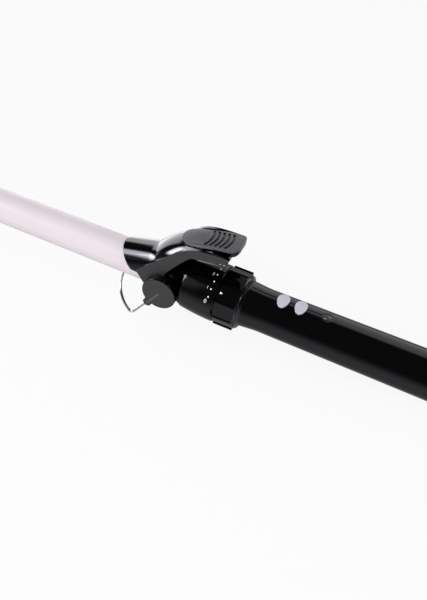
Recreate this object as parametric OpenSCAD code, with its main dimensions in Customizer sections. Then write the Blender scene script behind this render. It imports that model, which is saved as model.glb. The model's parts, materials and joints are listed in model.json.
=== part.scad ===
// Curling iron with a spring clip, a wire rest, a turning temperature dial and a two-shell handle.
// X runs along the barrel towards the cord, Y across, Z up. Inside place() the hinge of the
// lever is at X = 0 and the barrel's axis is the X axis.

/* [Barrel] */
// Outer diameter of the barrel
barrel_d = 19; // [14:0.5:25]
// Wall of the barrel tube
barrel_wall = 1; // [0.8:0.1:1.4]
// Length of barrel that shows, from the neck to the cool tip
barrel_len = 142; // [110:1:190]
// Length of the cool tip
tip_len = 17; // [12:0.5:24]

/* [Clip] */
// Length of the clip plate in front of the lever's collar
clip_len = 106; // [80:1:130]
// Thickness of the clip plate
clip_t = 0.8; // [0.6:0.1:1]
// Gap between the closed clip and the barrel
clip_gap = 0.3; // [0.2:0.05:0.5]
// How far above the barrel's axis the clip's edges stop
clip_edge_z = 1.3; // [0.5:0.1:3]

/* [Lever] */
// Wall of the lever's collar, outside the clip
collar_t = 1; // [0.8:0.1:1.6]
// Length of the collar along its top
collar_len = 17.5; // [13:0.5:22]
// Height of the arms' upper edge above the barrel's axis, under the pad
lever_rise = 35.6; // [32:0.2:42]
// Reach of the lever behind its hinge
lever_reach = 36.4; // [32:0.2:44]
// Wall of the lever's top
lever_wall = 2.2; // [1.8:0.1:3]
// Height of the neck's crown above the arms' edges, square to the neck
crown_h = 5; // [3.5:0.1:6.5]
// Thickness of the thumb pad
pad_t = 2; // [1.5:0.1:3]
// Width of the thumb pad
pad_w = 17.2; // [14:0.2:19]
// How far the hinge lies below the barrel's axis
hinge_drop = 2; // [1:0.1:3]
// Diameter of the hinge pins
pin_d = 4; // [3:0.1:5]

/* [Stand] */
// Diameter of the round caps on the hinge pins
cap_d = 20.4; // [17:0.2:24]
// Thickness of the caps
cap_t = 5; // [4:0.1:7]
// Diameter of the stand's wire
wire_d = 1.6; // [1.2:0.1:2.2]
// Length of the stand from the hinge to its foot
leg_len = 29.5; // [25:0.5:36]
// Slope of the stand's legs below the barrel
leg_slope = 56; // [48:1:64]

/* [Nose and dial] */
// Distance from the hinge to the nose's rear face
nose_len = 31.5; // [28:0.5:38]
// Diameter of the nose at its rear face
nose_d = 33.4; // [31:0.2:38]
// Length of the dial ring
dial_len = 12.6; // [10:0.2:16]
// Distance across the dial's flats
dial_d = 31.8; // [30.6:0.2:38]
// Number of ribs round the dial
dial_ribs = 10; // [8:1:12]

/* [Handle] */
// Length of the handle's shells
handle_len = 127; // [105:1:152]
// Diameter of the handle behind the dial
handle_d = 24.8; // [24:0.2:30]
// Diameter of the handle near its end
handle_end_d = 26.4; // [25:0.2:33]
// Wall of the shells
shell_t = 1.8; // [1.5:0.1:2.2]
// Diameter of the two push buttons
button_d = 8; // [6:0.2:9]
// Distance between the buttons' centres
button_pitch = 10.2; // [9.8:0.2:13]
// Diameter of the indicator window
window_d = 6.5; // [4:0.1:7]
// Bore for the cord in the swivel
cord_bore_d = 6.8; // [5:0.1:8]

/* [Hidden] */
$fn = 64;

// Clearances
fit = 0.05; // a shaft that turns in its bore
near = 0.3; // pieces that move past each other
seat = 0.02; // pieces that are pressed together
apart = 0.4; // moving pieces with the most play

// Barrel and clip
barrel_r = barrel_d / 2;
bore_r = barrel_r - barrel_wall;
neck_front_x = -8.3;
washer_t = 0.3;
barrel_x1 = neck_front_x - washer_t;
barrel_x0 = barrel_x1 - barrel_len;
tip_x0 = barrel_x0 - tip_len;
plug_len = 12;
clip_r = barrel_r + clip_gap;
clip_out_r = clip_r + clip_t;
collar_r = clip_out_r + collar_t;
collar_x1 = -12.5;
collar_x0 = collar_x1 - collar_len;
collar_edge_z = clip_edge_z + 1.1;
clip_x0 = collar_x0 - clip_len;

// Lever
arm_in = barrel_r + near;
arm_out = collar_r;
arm_heel = [-17.2, 3.6];
arm_toe = [-12, -3.4];
arm_bend = [8, lever_rise - 6.6];
arm_root = [0.2, 9];
arm_boss_r = 6.4;
hinge_z = -hinge_drop;
pin_r = pin_d / 2;
press_deg = 20;

// Stand
cap_r = cap_d / 2;
cap_in = arm_out + apart;
cap_out = cap_in + cap_t;
ridge_h = 0.5;
wire_r = wire_d / 2;
wire_y = cap_in + 0.72 * cap_t;
nub_r = 2.5;
nub_reach = cap_r + 1.1;
bend_r = 2;
leg_dir = [-cos(leg_slope), -sin(leg_slope)];
knee = [0, hinge_z] + leg_len * leg_dir;
bow_top_z = -(barrel_r + apart + wire_r);
bow_drop = bow_top_z - knee[1];
bow_len = max(wire_y + 4.6, 1.2 * bow_drop);
bow_slope = asin(bow_drop / bow_len);
bow_dir = [-cos(bow_slope), sin(bow_slope)];
bend_half = (leg_slope + bow_slope) / 2;
bend_cut = bend_r * tan(bend_half);
bow_straight = bow_len - wire_y - bend_cut;
bend_mid = [knee[0], knee[1]] + bend_r / cos(bend_half) * (bow_dir - leg_dir) / norm(bow_dir - leg_dir);

// Height of the barrel's axis when the stand's wire touches the ground
axis_z = -(bend_mid[1] - bend_r - wire_r);

// Nose and dial
neck_flat = barrel_r;
neck_r = barrel_r + 1.5;
pocket_x = 11.4;
nose_r = nose_d / 2;
nose_front_r = nose_r - 1.4;
lead_bore_r = 5.5;
spigot_in_r = 9.3;
cavity_r = 11.2;
spring_r = pin_r + 1.9;
spring_wire_r = 0.4;
spring_depth = 3.2;
bearing_r = 13;
dial_x0 = nose_len + near;
dial_x1 = dial_x0 + dial_len;
dial_flat_r = dial_d / 2;
dial_vertex_r = dial_flat_r / cos(180 / dial_ribs);
rib_h = 0.5;
rib_w = 1.1;
pointer_deg = 45;

// Handle
handle_x0 = dial_x1 + near;
handle_x1 = handle_x0 + handle_len;
handle_r = handle_d / 2;
handle_end_r = handle_end_d / 2;
flare_len = 14;
tail_len = 11;
spigot_r = bearing_r - 2;
spigot_x1 = handle_x0 + 16;
inner_r = handle_r - shell_t;
cavity_x1 = handle_x1 - 5.6;
seam = 0.02;
groove_w = 0.7;
groove_h = 0.5;

// Board and what it carries
board_z = 4.8;
board_t = 1.2;
board_top = board_z + board_t;
board_x0 = spigot_x1 + 2.5;
board_x1 = board_x0 + 82;
board_w = 16;
board_screw_y = board_w / 2 - 1.6;
ledge_x = [board_x0 + 3.5, (board_x0 + board_x1) / 2, board_x1 - 4];
button_x = [handle_x0 + 21.3, handle_x0 + 21.3 + button_pitch];
window_x = button_x[1] + 15.1;
button_r = button_d / 2;
button_flange_r = button_r + 0.8;
button_travel = 0.5;
button_base_z = inner_r - 2;
screw_x = [handle_x0 + 40, handle_x0 + 96];
screw_z = -6;
screw_r = 1.25;
head_r = 2.5;
boss_r = 3;

// Swivel
swivel_r = 6;
flange_r = 8;
flange_x = handle_x1 - 9;
flange_t = 2.2;
stub_r = 3.4;
stub_x0 = flange_x - 12;
swivel_x1 = handle_x1 + 14;

// Middle of the whole length, below which the origin lies
mid_x = (tip_x0 + swivel_x1) / 2;

// Colours
pink = [0.87, 0.74, 0.75];
black = [0.06, 0.06, 0.07];
soft_grey = [0.2, 0.2, 0.21];
steel = [0.75, 0.76, 0.78];
brass = [0.8, 0.65, 0.3];
board_green = [0.1, 0.35, 0.2];
cream = [0.9, 0.88, 0.8];

// Building blocks

module place() {
    translate([-mid_x, 0, axis_z]) children();
}

// A turned shape: each point is [radius, X]
module lathe(profile) {
    rotate([0, 90, 0]) rotate_extrude() polygon(profile);
}

module bar_x(x0, x1, r) {
    translate([x0, 0, 0]) rotate([0, 90, 0]) cylinder(h = x1 - x0, r = r);
}

module bar_y(x, z, y0, y1, r) {
    translate([x, y0, z]) rotate([-90, 0, 0]) cylinder(h = y1 - y0, r = r);
}

module bar_z(x, z0, z1, r) {
    translate([x, 0, z0]) cylinder(h = z1 - z0, r = r);
}

module slab(x, y, z) {
    translate([x[0], y[0], z[0]]) cube([x[1] - x[0], y[1] - y[0], z[1] - z[0]]);
}

// A plate with its outline in the XZ plane, from Y = y0 to Y = y1
module side_plate(outline, y0, y1) {
    translate([0, y1, 0]) rotate([90, 0, 0]) linear_extrude(height = y1 - y0) polygon(outline);
}

module rod(from, to, r) {
    v = to - from;
    translate(from)
        rotate([0, acos(v[2] / norm(v)), atan2(v[1], v[0])])
            cylinder(h = norm(v), r = r);
}

module both_sides() {
    children();
    mirror([0, 1, 0]) children();
}

// Points of a cubic curve from a to d, without the first point
function bend(a, b, c, d, n = 8) = [
    for (i = [1:n]) let (t = i / n, u = 1 - t)
        u * u * u * a + 3 * u * u * t * b + 3 * u * t * t * c + t * t * t * d
];

function arc(centre, r, a0, a1, n = 12) = [
    for (i = [0:n]) let (a = a0 + (a1 - a0) * i / n) centre + r * [cos(a), sin(a)]
];

function reversed(list) = [for (i = [len(list) - 1:-1:0]) list[i]];

// Hot end

module barrel_tube() {
    color(pink) place() lathe([
        [bore_r, barrel_x0], [barrel_r - 0.2, barrel_x0], [barrel_r, barrel_x0 + 0.2],
        [barrel_r, barrel_x1], [bore_r, barrel_x1]
    ]);
}

module cool_tip() {
    dome_x = tip_x0 + 5;
    dome = arc([barrel_r - 5.3, dome_x], 5, 0, -90);
    color(black) place() difference() {
        union() {
            lathe(concat([[0, tip_x0]], reversed([for (p = dome) p]), [[barrel_r - 0.3, barrel_x0], [0, barrel_x0]]));
            bar_x(barrel_x0 - 0.5, barrel_x0 + plug_len, bore_r - seat);
        }
        bar_x(barrel_x0 - 8, barrel_x0 + plug_len + 1, bore_r - 1.8);
    }
}

module tip_insulator() {
    color(cream) place() bar_x(barrel_x0 + plug_len + seat, barrel_x0 + plug_len + 1.5, bore_r - seat);
}

// The heater fills the barrel from behind the insulator to in front of the heat sleeve
heater_x0 = barrel_x0 + plug_len + 4;
heater_x1 = barrel_x1 - 22;
bar_half = [3.4, 1.2];
film_t = 0.2;
carrier_gap = 0.25;

module carrier() {
    slot_y = bar_half[0] + film_t + seat;
    slot_z = bar_half[1] + film_t + seat;
    difference() {
        bar_x(heater_x0, heater_x1, bore_r - 0.1);
        slab([heater_x0 - 1, heater_x1 + 1], [-barrel_r, barrel_r], [-barrel_r, carrier_gap]);
        slab([heater_x0 - 1, heater_x1 + 1], [-slot_y, slot_y], [0, slot_z]);
        translate([0, 0, 4.7]) bar_x(heater_x1 - 8, heater_x1 + 1, 1.2);
    }
}

module heater_carrier_upper() {
    color(steel) place() carrier();
}

module heater_carrier_lower() {
    color(steel) place() mirror([0, 0, 1]) carrier();
}

module heater_bar() {
    color(cream) place() slab([heater_x0 + 2, heater_x1 - 1], [-bar_half[0], bar_half[0]],
                              [-bar_half[1], bar_half[1]]);
}

module heater_film() {
    out = bar_half + [film_t, film_t];
    color(brass) place() difference() {
        slab([heater_x0 + 1, heater_x1], [-out[0], out[0]], [-out[1], out[1]]);
        slab([heater_x0, heater_x1 + 1], [-bar_half[0], bar_half[0]], [-bar_half[1], bar_half[1]]);
    }
}

module carrier_springs() {
    y0 = bar_half[0] + film_t + 0.4;
    color(steel) place() both_sides()
        slab([heater_x0 + 3, heater_x1 - 3], [y0, bore_r - 0.9], [-carrier_gap, carrier_gap]);
}

module thermistor() {
    color(cream) place() translate([0, 0, 4.7]) bar_x(heater_x1 - 7.9, heater_x1 + 1, 1.15);
}

lead_y = 2.4;
lead_r = 0.75;
cutout_r = 1.8;
cutout_at = [0.14, 0.26];

// Each lead climbs from the heater to the board: at = 0 on the heater, 1 on the board
function lead_point(at, side) = [
    heater_x1 + at * (board_x0 + 3 - heater_x1), side * lead_y, at * (board_z - lead_r - 2 * seat)
];

module thermal_cutout() {
    color(steel) place() rod(lead_point(cutout_at[0], 1), lead_point(cutout_at[1], 1), cutout_r);
}

module heater_leads() {
    color("white") place() {
        rod(lead_point(0, -1), lead_point(1, -1), lead_r);
        rod(lead_point(0, 1), lead_point(cutout_at[0], 1), lead_r);
        rod(lead_point(cutout_at[1], 1), lead_point(1, 1), lead_r);
    }
}

module heat_sleeve() {
    color(cream) place() difference() {
        bar_x(neck_front_x - 13, pocket_x + 2, lead_bore_r - seat);
        bar_x(neck_front_x - 14, pocket_x + 3, lead_bore_r - 0.8);
    }
}

module mica_washer() {
    color(cream) place() difference() {
        bar_x(barrel_x1, neck_front_x, barrel_r - 0.1);
        bar_x(barrel_x1 - 1, neck_front_x + 1, bore_r);
    }
}

// Clip

rivet_x = [collar_x0 + 6, collar_x1 - 3];
rivet_r = 1.3;

module clip_plate() {
    tip_half = 7.5;
    color(pink) place() difference() {
        intersection() {
            difference() {
                bar_x(clip_x0, collar_x1, clip_out_r);
                bar_x(clip_x0 - 1, collar_x1 + 1, clip_r);
            }
            union() {
                slab([clip_x0 + tip_half, collar_x1], [-collar_r, collar_r], [clip_edge_z, collar_r]);
                translate([clip_x0 + tip_half, 0, clip_edge_z])
                    scale(tip_half / 10) cylinder(h = 10 * collar_r / tip_half, r = 10);
            }
        }
        for (x = rivet_x) bar_z(x, 0, collar_r, rivet_r);
    }
}

module clip_rivets() {
    color(steel) place() for (x = rivet_x) bar_z(x, clip_r + 0.1, clip_out_r + 0.6, rivet_r - seat);
}

// Lever

arm_tip = [lever_reach - 0.8, lever_rise - 0.2];
arm_top = concat(
    [arm_heel],
    bend(arm_heel, arm_heel + [5.7, 6.9], arm_bend + [-7.5, -7], arm_bend),
    bend(arm_bend, arm_bend + [6, 5.6], [22, lever_rise - 0.4], arm_tip)
);
arm_low = concat(
    bend(arm_tip, arm_tip + [-2.2, -2.3], [31, lever_rise - 4.4], [26, lever_rise - 5.9], 5),
    bend([26, lever_rise - 5.9], [21, lever_rise - 7.2], [17, lever_rise - 7], arm_bend + [6, -2.1], 5),
    bend(arm_bend + [6, -2.1], arm_bend + [2.5, -5.5], arm_root + [4.3, 6.5], arm_root)
);
arm_outline = concat(arm_top, arm_low, arc([0, hinge_z], arm_boss_r, 60, -150), [arm_toe]);

// The hood is a bent tube, from the collar up the neck and level again under the pad. The
// neck's crown follows a wide arc, in steps of one slope each, and the collar and the top have
// a point on their crowns, a slope and a radius.
collar_crown = [collar_x0, collar_r + 0.1];
collar_slope = 17;
neck_slopes = [56, 43, 30, 17];
neck_mid = arm_bend + [15.16, -33.37];
neck_bow = 35 + crown_h;
neck_tube_r = collar_r + 1.9;
top_crown = [arm_bend[0] + 6, lever_rise - 1];
top_slope = 4.6;
top_round = 40;
hood_foot = [arm_bend + [-7.1, -9.24], arm_bend + [4.05, 0.8]];

function neck_crown(slope, lift) = neck_mid + (neck_bow + lift) * [-sin(slope), cos(slope)];

module collar() {
    cut = [
        [collar_x0 - 2, collar_r + 2], [collar_x0 - 2, collar_edge_z - 2],
        [collar_x0 + collar_r, collar_edge_z - 2], [collar_x0, collar_r], [collar_x0, collar_r + 2]
    ];
    difference() {
        bar_x(collar_x0, collar_x1, collar_r);
        bar_x(collar_x0 - 1, collar_x1 + 1, clip_out_r + seat);
        slab([collar_x0 - 1, collar_x1 + 1], [-2 * collar_r, 2 * collar_r], [-2 * collar_r, collar_edge_z]);
        side_plate(cut, -2 * collar_r, 2 * collar_r);
    }
}

// A round bar whose crown passes through a point of the XZ plane at a slope
module inclined(crown, slope, r) {
    translate([crown[0], 0, crown[1]]) rotate([0, -slope, 0]) translate([0, 0, -r]) bar_x(-70, 70, r);
}

module neck_bar(slope, lift) {
    inclined(neck_crown(slope, lift), slope, neck_tube_r + lift);
}

module neck_bars(lift = 0) {
    intersection() {
        neck_bar(neck_slopes[0], lift);
        neck_bar(neck_slopes[1], lift);
        neck_bar(neck_slopes[2], lift);
        neck_bar(neck_slopes[3], lift);
    }
}

module hood_bars(lift = 0) {
    intersection() {
        neck_bars(lift);
        inclined(top_crown + [0, lift], top_slope, top_round + lift);
    }
}

module hood() {
    zone = [
        [collar_x0 - 3.5, collar_r + 4], [collar_x0 + 0.5 + collar_r - collar_edge_z, collar_edge_z],
        [collar_x1, collar_edge_z], [collar_x1 + 3.5, 6], [collar_x1 + 5.5, collar_r + 0.6],
        hood_foot[0], hood_foot[1],
        [arm_tip[0] - 1, lever_rise - 3.8], [arm_tip[0] - 1, lever_rise + 9], [collar_x0, lever_rise + 9]
    ];
    intersection() {
        side_plate(zone, -arm_out, arm_out);
        difference() {
            union() {
                inclined(collar_crown, collar_slope, collar_r - 0.2);
                hood_bars();
            }
            bar_x(collar_x0 - 5, collar_x1 - 0.5, clip_out_r + seat);
            bar_x(collar_x1 - 0.5, collar_x1 + 9, neck_r + apart);
            translate([collar_x1, -arm_out, 0]) intersection() {
                cube([arm_tip[0] - 3 - collar_x1, 2 * arm_out, lever_rise]);
                translate([-collar_x1, arm_out, 0]) hood_bars(-lever_wall);
            }
        }
    }
}

module arms() {
    both_sides() side_plate(arm_outline, arm_in, arm_out);
}

module lever() {
    color(black) place() difference() {
        union() {
            collar();
            arms();
            hood();
        }
        bar_y(0, hinge_z, -2 * arm_out, 2 * arm_out, pin_r + fit);
        // The clip's rear end lies inside the arms' heels
        bar_x(collar_x0 - 5, collar_x1 + seat, clip_out_r + seat);
        for (x = rivet_x) bar_z(x, 0, clip_out_r + 0.6 + seat, rivet_r);
    }
}

// The pad lies on the lever's top
pad_tip_x = 4.6;
pad_half = concat(
    [[pad_tip_x, 0]],
    bend([pad_tip_x, 0], [pad_tip_x - 0.3, 5], [pad_tip_x + 3, pad_w / 2 - 1],
         [pad_tip_x + 9.4, pad_w / 2 - 0.2]),
    bend([pad_tip_x + 9.4, pad_w / 2 - 0.2], [21, pad_w / 2], [27, pad_w / 2], [lever_reach - 3, pad_w / 2]),
    bend([lever_reach - 3, pad_w / 2], [lever_reach + 1, pad_w / 2], [lever_reach + 2, pad_w / 2 - 3],
         [lever_reach + 2, pad_w / 2 - 6])
);
pad_crown = [14, lever_rise + pad_t - 2];
pad_slope = 10.3;
pad_round = 30;
pad_skin = 1;

// The two slopes of the neck that the pad lies on
module pad_bed(lift) {
    intersection() {
        neck_bar(neck_slopes[2], lift);
        neck_bar(neck_slopes[3], lift);
    }
}

module thumb_pad() {
    plan = concat(pad_half, reversed([for (p = pad_half) [p[0], -p[1]]]));
    under = [
        [-20, -20], [-20, lever_rise], [pad_tip_x - 2, lever_rise - 4], arm_bend, arm_bend + [6, 4.1],
        [22, lever_rise - 1], [lever_reach + 3, lever_rise - 0.4], [lever_reach + 3, -20]
    ];
    color(soft_grey) place() difference() {
        intersection() {
            linear_extrude(height = lever_rise + 20) polygon(plan);
            pad_bed(pad_skin);
            inclined(pad_crown, pad_slope, pad_round);
        }
        intersection() {
            pad_bed(seat);
            inclined(top_crown + [0, seat], top_slope, top_round + seat);
        }
        side_plate(under, -pad_w, pad_w);
    }
}

spring_turns = 2.25;
spring_pitch = 2.2 * spring_wire_r;
spring_start = neck_flat - spring_depth + spring_wire_r + 0.05;
spring_leg = 1;

// Centre line of a torsion spring: coils round the pin, with a leg into the nose and one to the arm
function coil_point(a) =
    [spring_r * cos(a), -spring_start - spring_pitch * a / 360, hinge_z + spring_r * sin(a)];

module wire_tube(path, r, sides = 6) {
    n = len(path);
    rings = [
        for (i = [0:n - 1])
            let (t = path[min(i + 1, n - 1)] - path[max(i - 1, 0)], d = t / norm(t))
            let (u = cross(d, [0, 1, 0.01]), e = u / norm(u), f = cross(d, e))
            for (k = [0:sides - 1]) path[i] + r * (cos(360 * k / sides) * e + sin(360 * k / sides) * f)
    ];
    walls = [
        for (i = [0:n - 2]) for (k = [0:sides - 1])
            [i * sides + k, (i + 1) * sides + k, (i + 1) * sides + (k + 1) % sides, i * sides + (k + 1) % sides]
    ];
    ends = [
        [for (k = [0:sides - 1]) k],
        [for (k = [sides - 1:-1:0]) (n - 1) * sides + k]
    ];
    polyhedron(points = rings, faces = concat(walls, ends), convexity = 4);
}

module lever_springs() {
    coils = [for (a = [0:18:360 * spring_turns]) coil_point(a)];
    last = coil_point(360 * spring_turns);
    path = concat([coil_point(0) + [0, spring_leg, 0]], coils, [[last[0], near - arm_in, last[2]]]);
    color(steel) place() both_sides() wire_tube(path, spring_wire_r);
}

pin_in = neck_flat - 3.5;
pin_out = cap_out - 1.8;
pin_head = 1;

module hinge_pins() {
    color(steel) place() both_sides() {
        bar_y(0, hinge_z, pin_in, pin_out, pin_r);
        bar_y(0, hinge_z, pin_out - pin_head, pin_out, pin_r + 0.4);
    }
}

// Stand: the far cap is drawn and the near cap is its mirror image

module leg_frame() {
    translate([0, 0, hinge_z]) rotate([0, -90 - leg_slope, 0]) children();
}

module stand_cap() {
    rim = 0.4;
    difference() {
        union() {
            translate([0, 0, hinge_z]) rotate([-90, 0, 0]) rotate_extrude() polygon([
                [0, cap_in], [cap_r - rim, cap_in], [cap_r, cap_in + rim],
                [cap_r, cap_out - rim], [cap_r - rim, cap_out], [0, cap_out]
            ]);
            leg_frame() {
                bar_y(0, nub_reach, cap_in + 1, cap_out + ridge_h, nub_r);
                slab([-nub_r, nub_r], [cap_in + 1, cap_out], [cap_r - 4, nub_reach]);
                slab([-1.2, 1.2], [cap_out - 1, cap_out + ridge_h], [0, nub_reach]);
            }
        }
        bar_y(0, hinge_z, cap_in - 1, pin_out + 0.2, pin_r + fit);
        bar_y(0, hinge_z, pin_out - pin_head - 0.1, pin_out + 0.2, pin_r + 0.4 + fit);
        leg_frame() translate([0, wire_y, cap_r - 3]) cylinder(h = 12, r = wire_r + seat);
    }
}

module stand_cap_near() {
    color(black) place() mirror([0, 1, 0]) stand_cap();
}

module stand_cap_far() {
    color(black) place() stand_cap();
}

// One bent wire: two legs, two bends and a half-round bow that stops under the barrel
module stand_wire() {
    bow_mid = knee + (bow_len - wire_y) * bow_dir;
    color(steel) place() translate([bow_mid[0], 0, bow_mid[1]]) rotate([0, bow_slope, 0]) {
        rotate([0, 0, 90]) rotate_extrude(angle = 180) translate([wire_y, 0]) circle(r = wire_r);
        both_sides() translate([0, wire_y, 0]) {
            bar_x(-0.1, bow_straight + 0.1, wire_r - seat);
            translate([bow_straight, 0, bend_r]) {
                rotate([90, 0, 0]) rotate([0, 0, -90])
                    rotate_extrude(angle = 2 * bend_half) translate([bend_r, 0]) circle(r = wire_r);
                rotate([0, -2 * bend_half, 0]) translate([0, 0, -bend_r])
                    bar_x(-0.1, leg_len - bend_cut - cap_r + 2.8, wire_r - seat);
            }
        }
    }
}

// Nose and dial

module nose_body() {
    belly = bend([neck_r, 1.5], [neck_r, 6], [nose_front_r - 0.8, 8], [nose_front_r, pocket_x + 1]);
    skin = bend([nose_front_r, pocket_x + 1], [nose_front_r + 0.7, pocket_x + 7], [nose_r - 0.1, nose_len - 9],
                [nose_r, nose_len - 0.6], 10);
    color(black) place() difference() {
        union() {
            difference() {
                lathe(concat(
                    [[0, neck_front_x], [neck_r - 0.5, neck_front_x], [neck_r, neck_front_x + 0.5], [neck_r, 1.5]],
                    belly, skin,
                    [[nose_r - 0.4, nose_len], [bearing_r - fit, nose_len], [bearing_r - fit, handle_x0],
                     [spigot_r - seat, handle_x0], [spigot_r - seat, spigot_x1], [0, spigot_x1]]
                ));
                both_sides() slab([neck_front_x - 1, pocket_x], [neck_flat, 2 * nose_r], [-2 * nose_r, 2 * nose_r]);
            }
            bar_x(neck_front_x - 12, neck_front_x + 1, bore_r - 0.1);
        }
        bar_x(neck_front_x - 13, spigot_x1, lead_bore_r);
        bar_x(pocket_x + 3, nose_len + 12, cavity_r);
        bar_x(nose_len + 11, spigot_x1 + 1, spigot_in_r);
        // Pockets for the springs, with the pins' bosses left standing
        both_sides() difference() {
            bar_y(0, hinge_z, neck_flat - spring_depth, neck_flat + 1, spring_r + spring_wire_r + 0.3);
            bar_y(0, hinge_z, neck_flat - spring_depth - 1, neck_flat + 2, spring_r - spring_wire_r - 0.2);
        }
        bar_y(0, hinge_z, -2 * neck_r, 2 * neck_r, pin_r + seat);
        both_sides() bar_y(spring_r, hinge_z, spring_start - spring_leg - 0.2, neck_flat, spring_wire_r + 0.1);
        // Annular recess for the dial's track
        difference() {
            bar_x(nose_len - 2.2, nose_len + 1, nose_r - 1.4);
            bar_x(nose_len - 3, nose_len + 2, bearing_r - fit);
        }
        bar_x_at(nose_len - 4.5, nose_len + 1, stop_r, stop_deg, stop_pin_r);
        // Groove that the shells grip
        difference() {
            bar_x(grip_x[0], grip_x[1], spigot_r + 1);
            bar_x(grip_x[0] - 1, grip_x[1] + 1, grip_r);
        }
    }
}

stop_pin_r = 0.6;
stop_r = bearing_r + 0.8;
stop_deg = -120;
track_r = [bearing_r + 0.15, nose_r - 1.5];
grip_x = [handle_x0 + 8, handle_x0 + 10.4];
grip_r = spigot_r - 0.8;

// A rod along X at a radius and at an angle from the top towards the near side
module bar_x_at(x0, x1, radius, deg, r) {
    rotate([deg, 0, 0]) translate([0, 0, radius]) bar_x(x0, x1, r);
}

dial_up = 15.5;
dial_down = 62;

module dial_ring() {
    rim = 0.6;
    color(black) place() difference() {
        union() {
            intersection() {
                translate([dial_x0, 0, 0]) rotate([0, 90, 0]) rotate([0, 0, 180 - pointer_deg - 180 / dial_ribs])
                    cylinder(h = dial_len, r = dial_vertex_r, $fn = dial_ribs);
                lathe([
                    [0, dial_x0], [dial_flat_r - 0.3, dial_x0], [dial_vertex_r + 0.3, dial_x0 + 1.5],
                    [dial_vertex_r + 0.3, dial_x1 - 1.5], [dial_flat_r - 0.3, dial_x1], [0, dial_x1]
                ]);
            }
            for (k = [0:dial_ribs - 1])
                rotate([pointer_deg + (k + 0.5) * 360 / dial_ribs, 0, 0])
                    slab([dial_x0 + rim, dial_x1 - rim], [-rib_w / 2, rib_w / 2],
                         [dial_flat_r - 1, dial_vertex_r + rib_h]);
        }
        bar_x(dial_x0 - 1, dial_x1 + 1, bearing_r);
        // Slot for the stop pin
        rotate([stop_deg - dial_up - 4, 0, 0]) rotate([0, 90, 0]) rotate([0, 0, 180])
            rotate_extrude(angle = dial_down + dial_up + 8)
                translate([bearing_r - 0.5, dial_x0 - 1]) square([stop_r + stop_pin_r + 0.25 - bearing_r + 0.5, 3.2]);
    }
}

// Wiper on the ring's front face, opposite the slot
module dial_contact() {
    color(brass) place() rotate([-10, 0, 0]) rotate([0, 90, 0]) rotate([0, 0, 180])
        rotate_extrude(angle = 70)
            translate([track_r[0] + 0.2, dial_x0 - 1.1]) square([track_r[1] - track_r[0] - 0.4, 1.1]);
}

module dial_track() {
    color(board_green) place() difference() {
        bar_x(nose_len - 2.2, nose_len - 1.2, track_r[1]);
        bar_x(nose_len - 3, nose_len, track_r[0]);
        bar_x_at(nose_len - 3, nose_len, stop_r, stop_deg, stop_pin_r + seat);
    }
}

module dial_washer() {
    color(steel) place() difference() {
        bar_x(dial_x1 + 0.05, handle_x0 - 0.05, dial_flat_r - 1);
        bar_x(dial_x1 - 1, handle_x0 + 1, bearing_r + 0.3);
    }
}

module dial_stop() {
    color(steel) place() bar_x_at(nose_len - 4.4, dial_x0 + 1.6, stop_r, stop_deg, stop_pin_r - seat);
}

// Handle

module handle_outside() {
    mouth = dial_flat_r - 0.6;
    tail = arc([handle_end_r - 7, handle_x1 - 7], 7, 0, 90);
    lathe(concat(
        [[0, handle_x0], [mouth, handle_x0], [mouth + 0.1, handle_x0 + 0.5]],
        bend([mouth + 0.1, handle_x0 + 0.5], [mouth - 1.4, handle_x0 + 1.6], [handle_r + 0.9, handle_x0 + 1.7],
             [handle_r + 0.7, handle_x0 + 2.4], 5),
        bend([handle_r + 0.7, handle_x0 + 2.4], [handle_r + 0.5, handle_x0 + 7], [handle_r, handle_x0 + 9],
             [handle_r, handle_x0 + flare_len], 6),
        [[handle_end_r, handle_x1 - tail_len]], tail, [[0, handle_x1]]
    ));
}

module shell_body() {
    difference() {
        handle_outside();
        // Seat for the nose's spigot, with the ring that grips it
        difference() {
            bar_x(handle_x0 - 1, spigot_x1, spigot_r);
            difference() {
                bar_x(grip_x[0] + 0.2, grip_x[1] - 0.2, spigot_r + 1);
                bar_x(grip_x[0], grip_x[1], grip_r + 0.1);
            }
        }
        difference() {
            lathe([[0, spigot_x1 - 0.1], [inner_r, spigot_x1 - 0.1], [handle_end_r - shell_t, cavity_x1], [0, cavity_x1]]);
            // Ledges under the board, and the walls that hold the swivel's flange
            for (x = ledge_x) both_sides()
                slab([x - 1.6, x + 1.6], [board_w / 2 - 2.6, 2 * handle_r], [board_z - 2.5, board_z - seat]);
            for (x = [flange_x - 2.3, flange_x + flange_t + near])
                slab([x, x + 2], [-2 * handle_r, 2 * handle_r], [-2 * handle_r, 2 * handle_r]);
            for (x = screw_x) bar_y(x, screw_z, -2 * handle_r, 2 * handle_r, boss_r);
        }
        bar_x(flange_x - 3, flange_x + 1, stub_r + 1.6);
        bar_x(flange_x + 1, handle_x1 + 1, swivel_r + fit);
        for (x = button_x) bar_z(x, 0, 2 * handle_r, button_r + 0.15);
        bar_z(window_x, 0, 2 * handle_r, window_d / 2 + seat);
        for (x = ledge_x) translate([0, board_screw_y, 0]) bar_z(x, board_z - 2.1, board_top, 0.7);
        // Hairline groove along the top
        slab([handle_x0 + 3, window_x], [-groove_w / 2, groove_w / 2], [handle_r - groove_h, 2 * handle_r]);
    }
}

module shell_near() {
    color(black) place() difference() {
        intersection() {
            shell_body();
            slab([handle_x0 - 1, handle_x1 + 1], [-2 * handle_r, -seam / 2], [-2 * handle_r, 2 * handle_r]);
        }
        for (x = screw_x) bar_y(x, screw_z, -6.2, 1, screw_r);
    }
}

head_y = 7.6;

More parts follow.
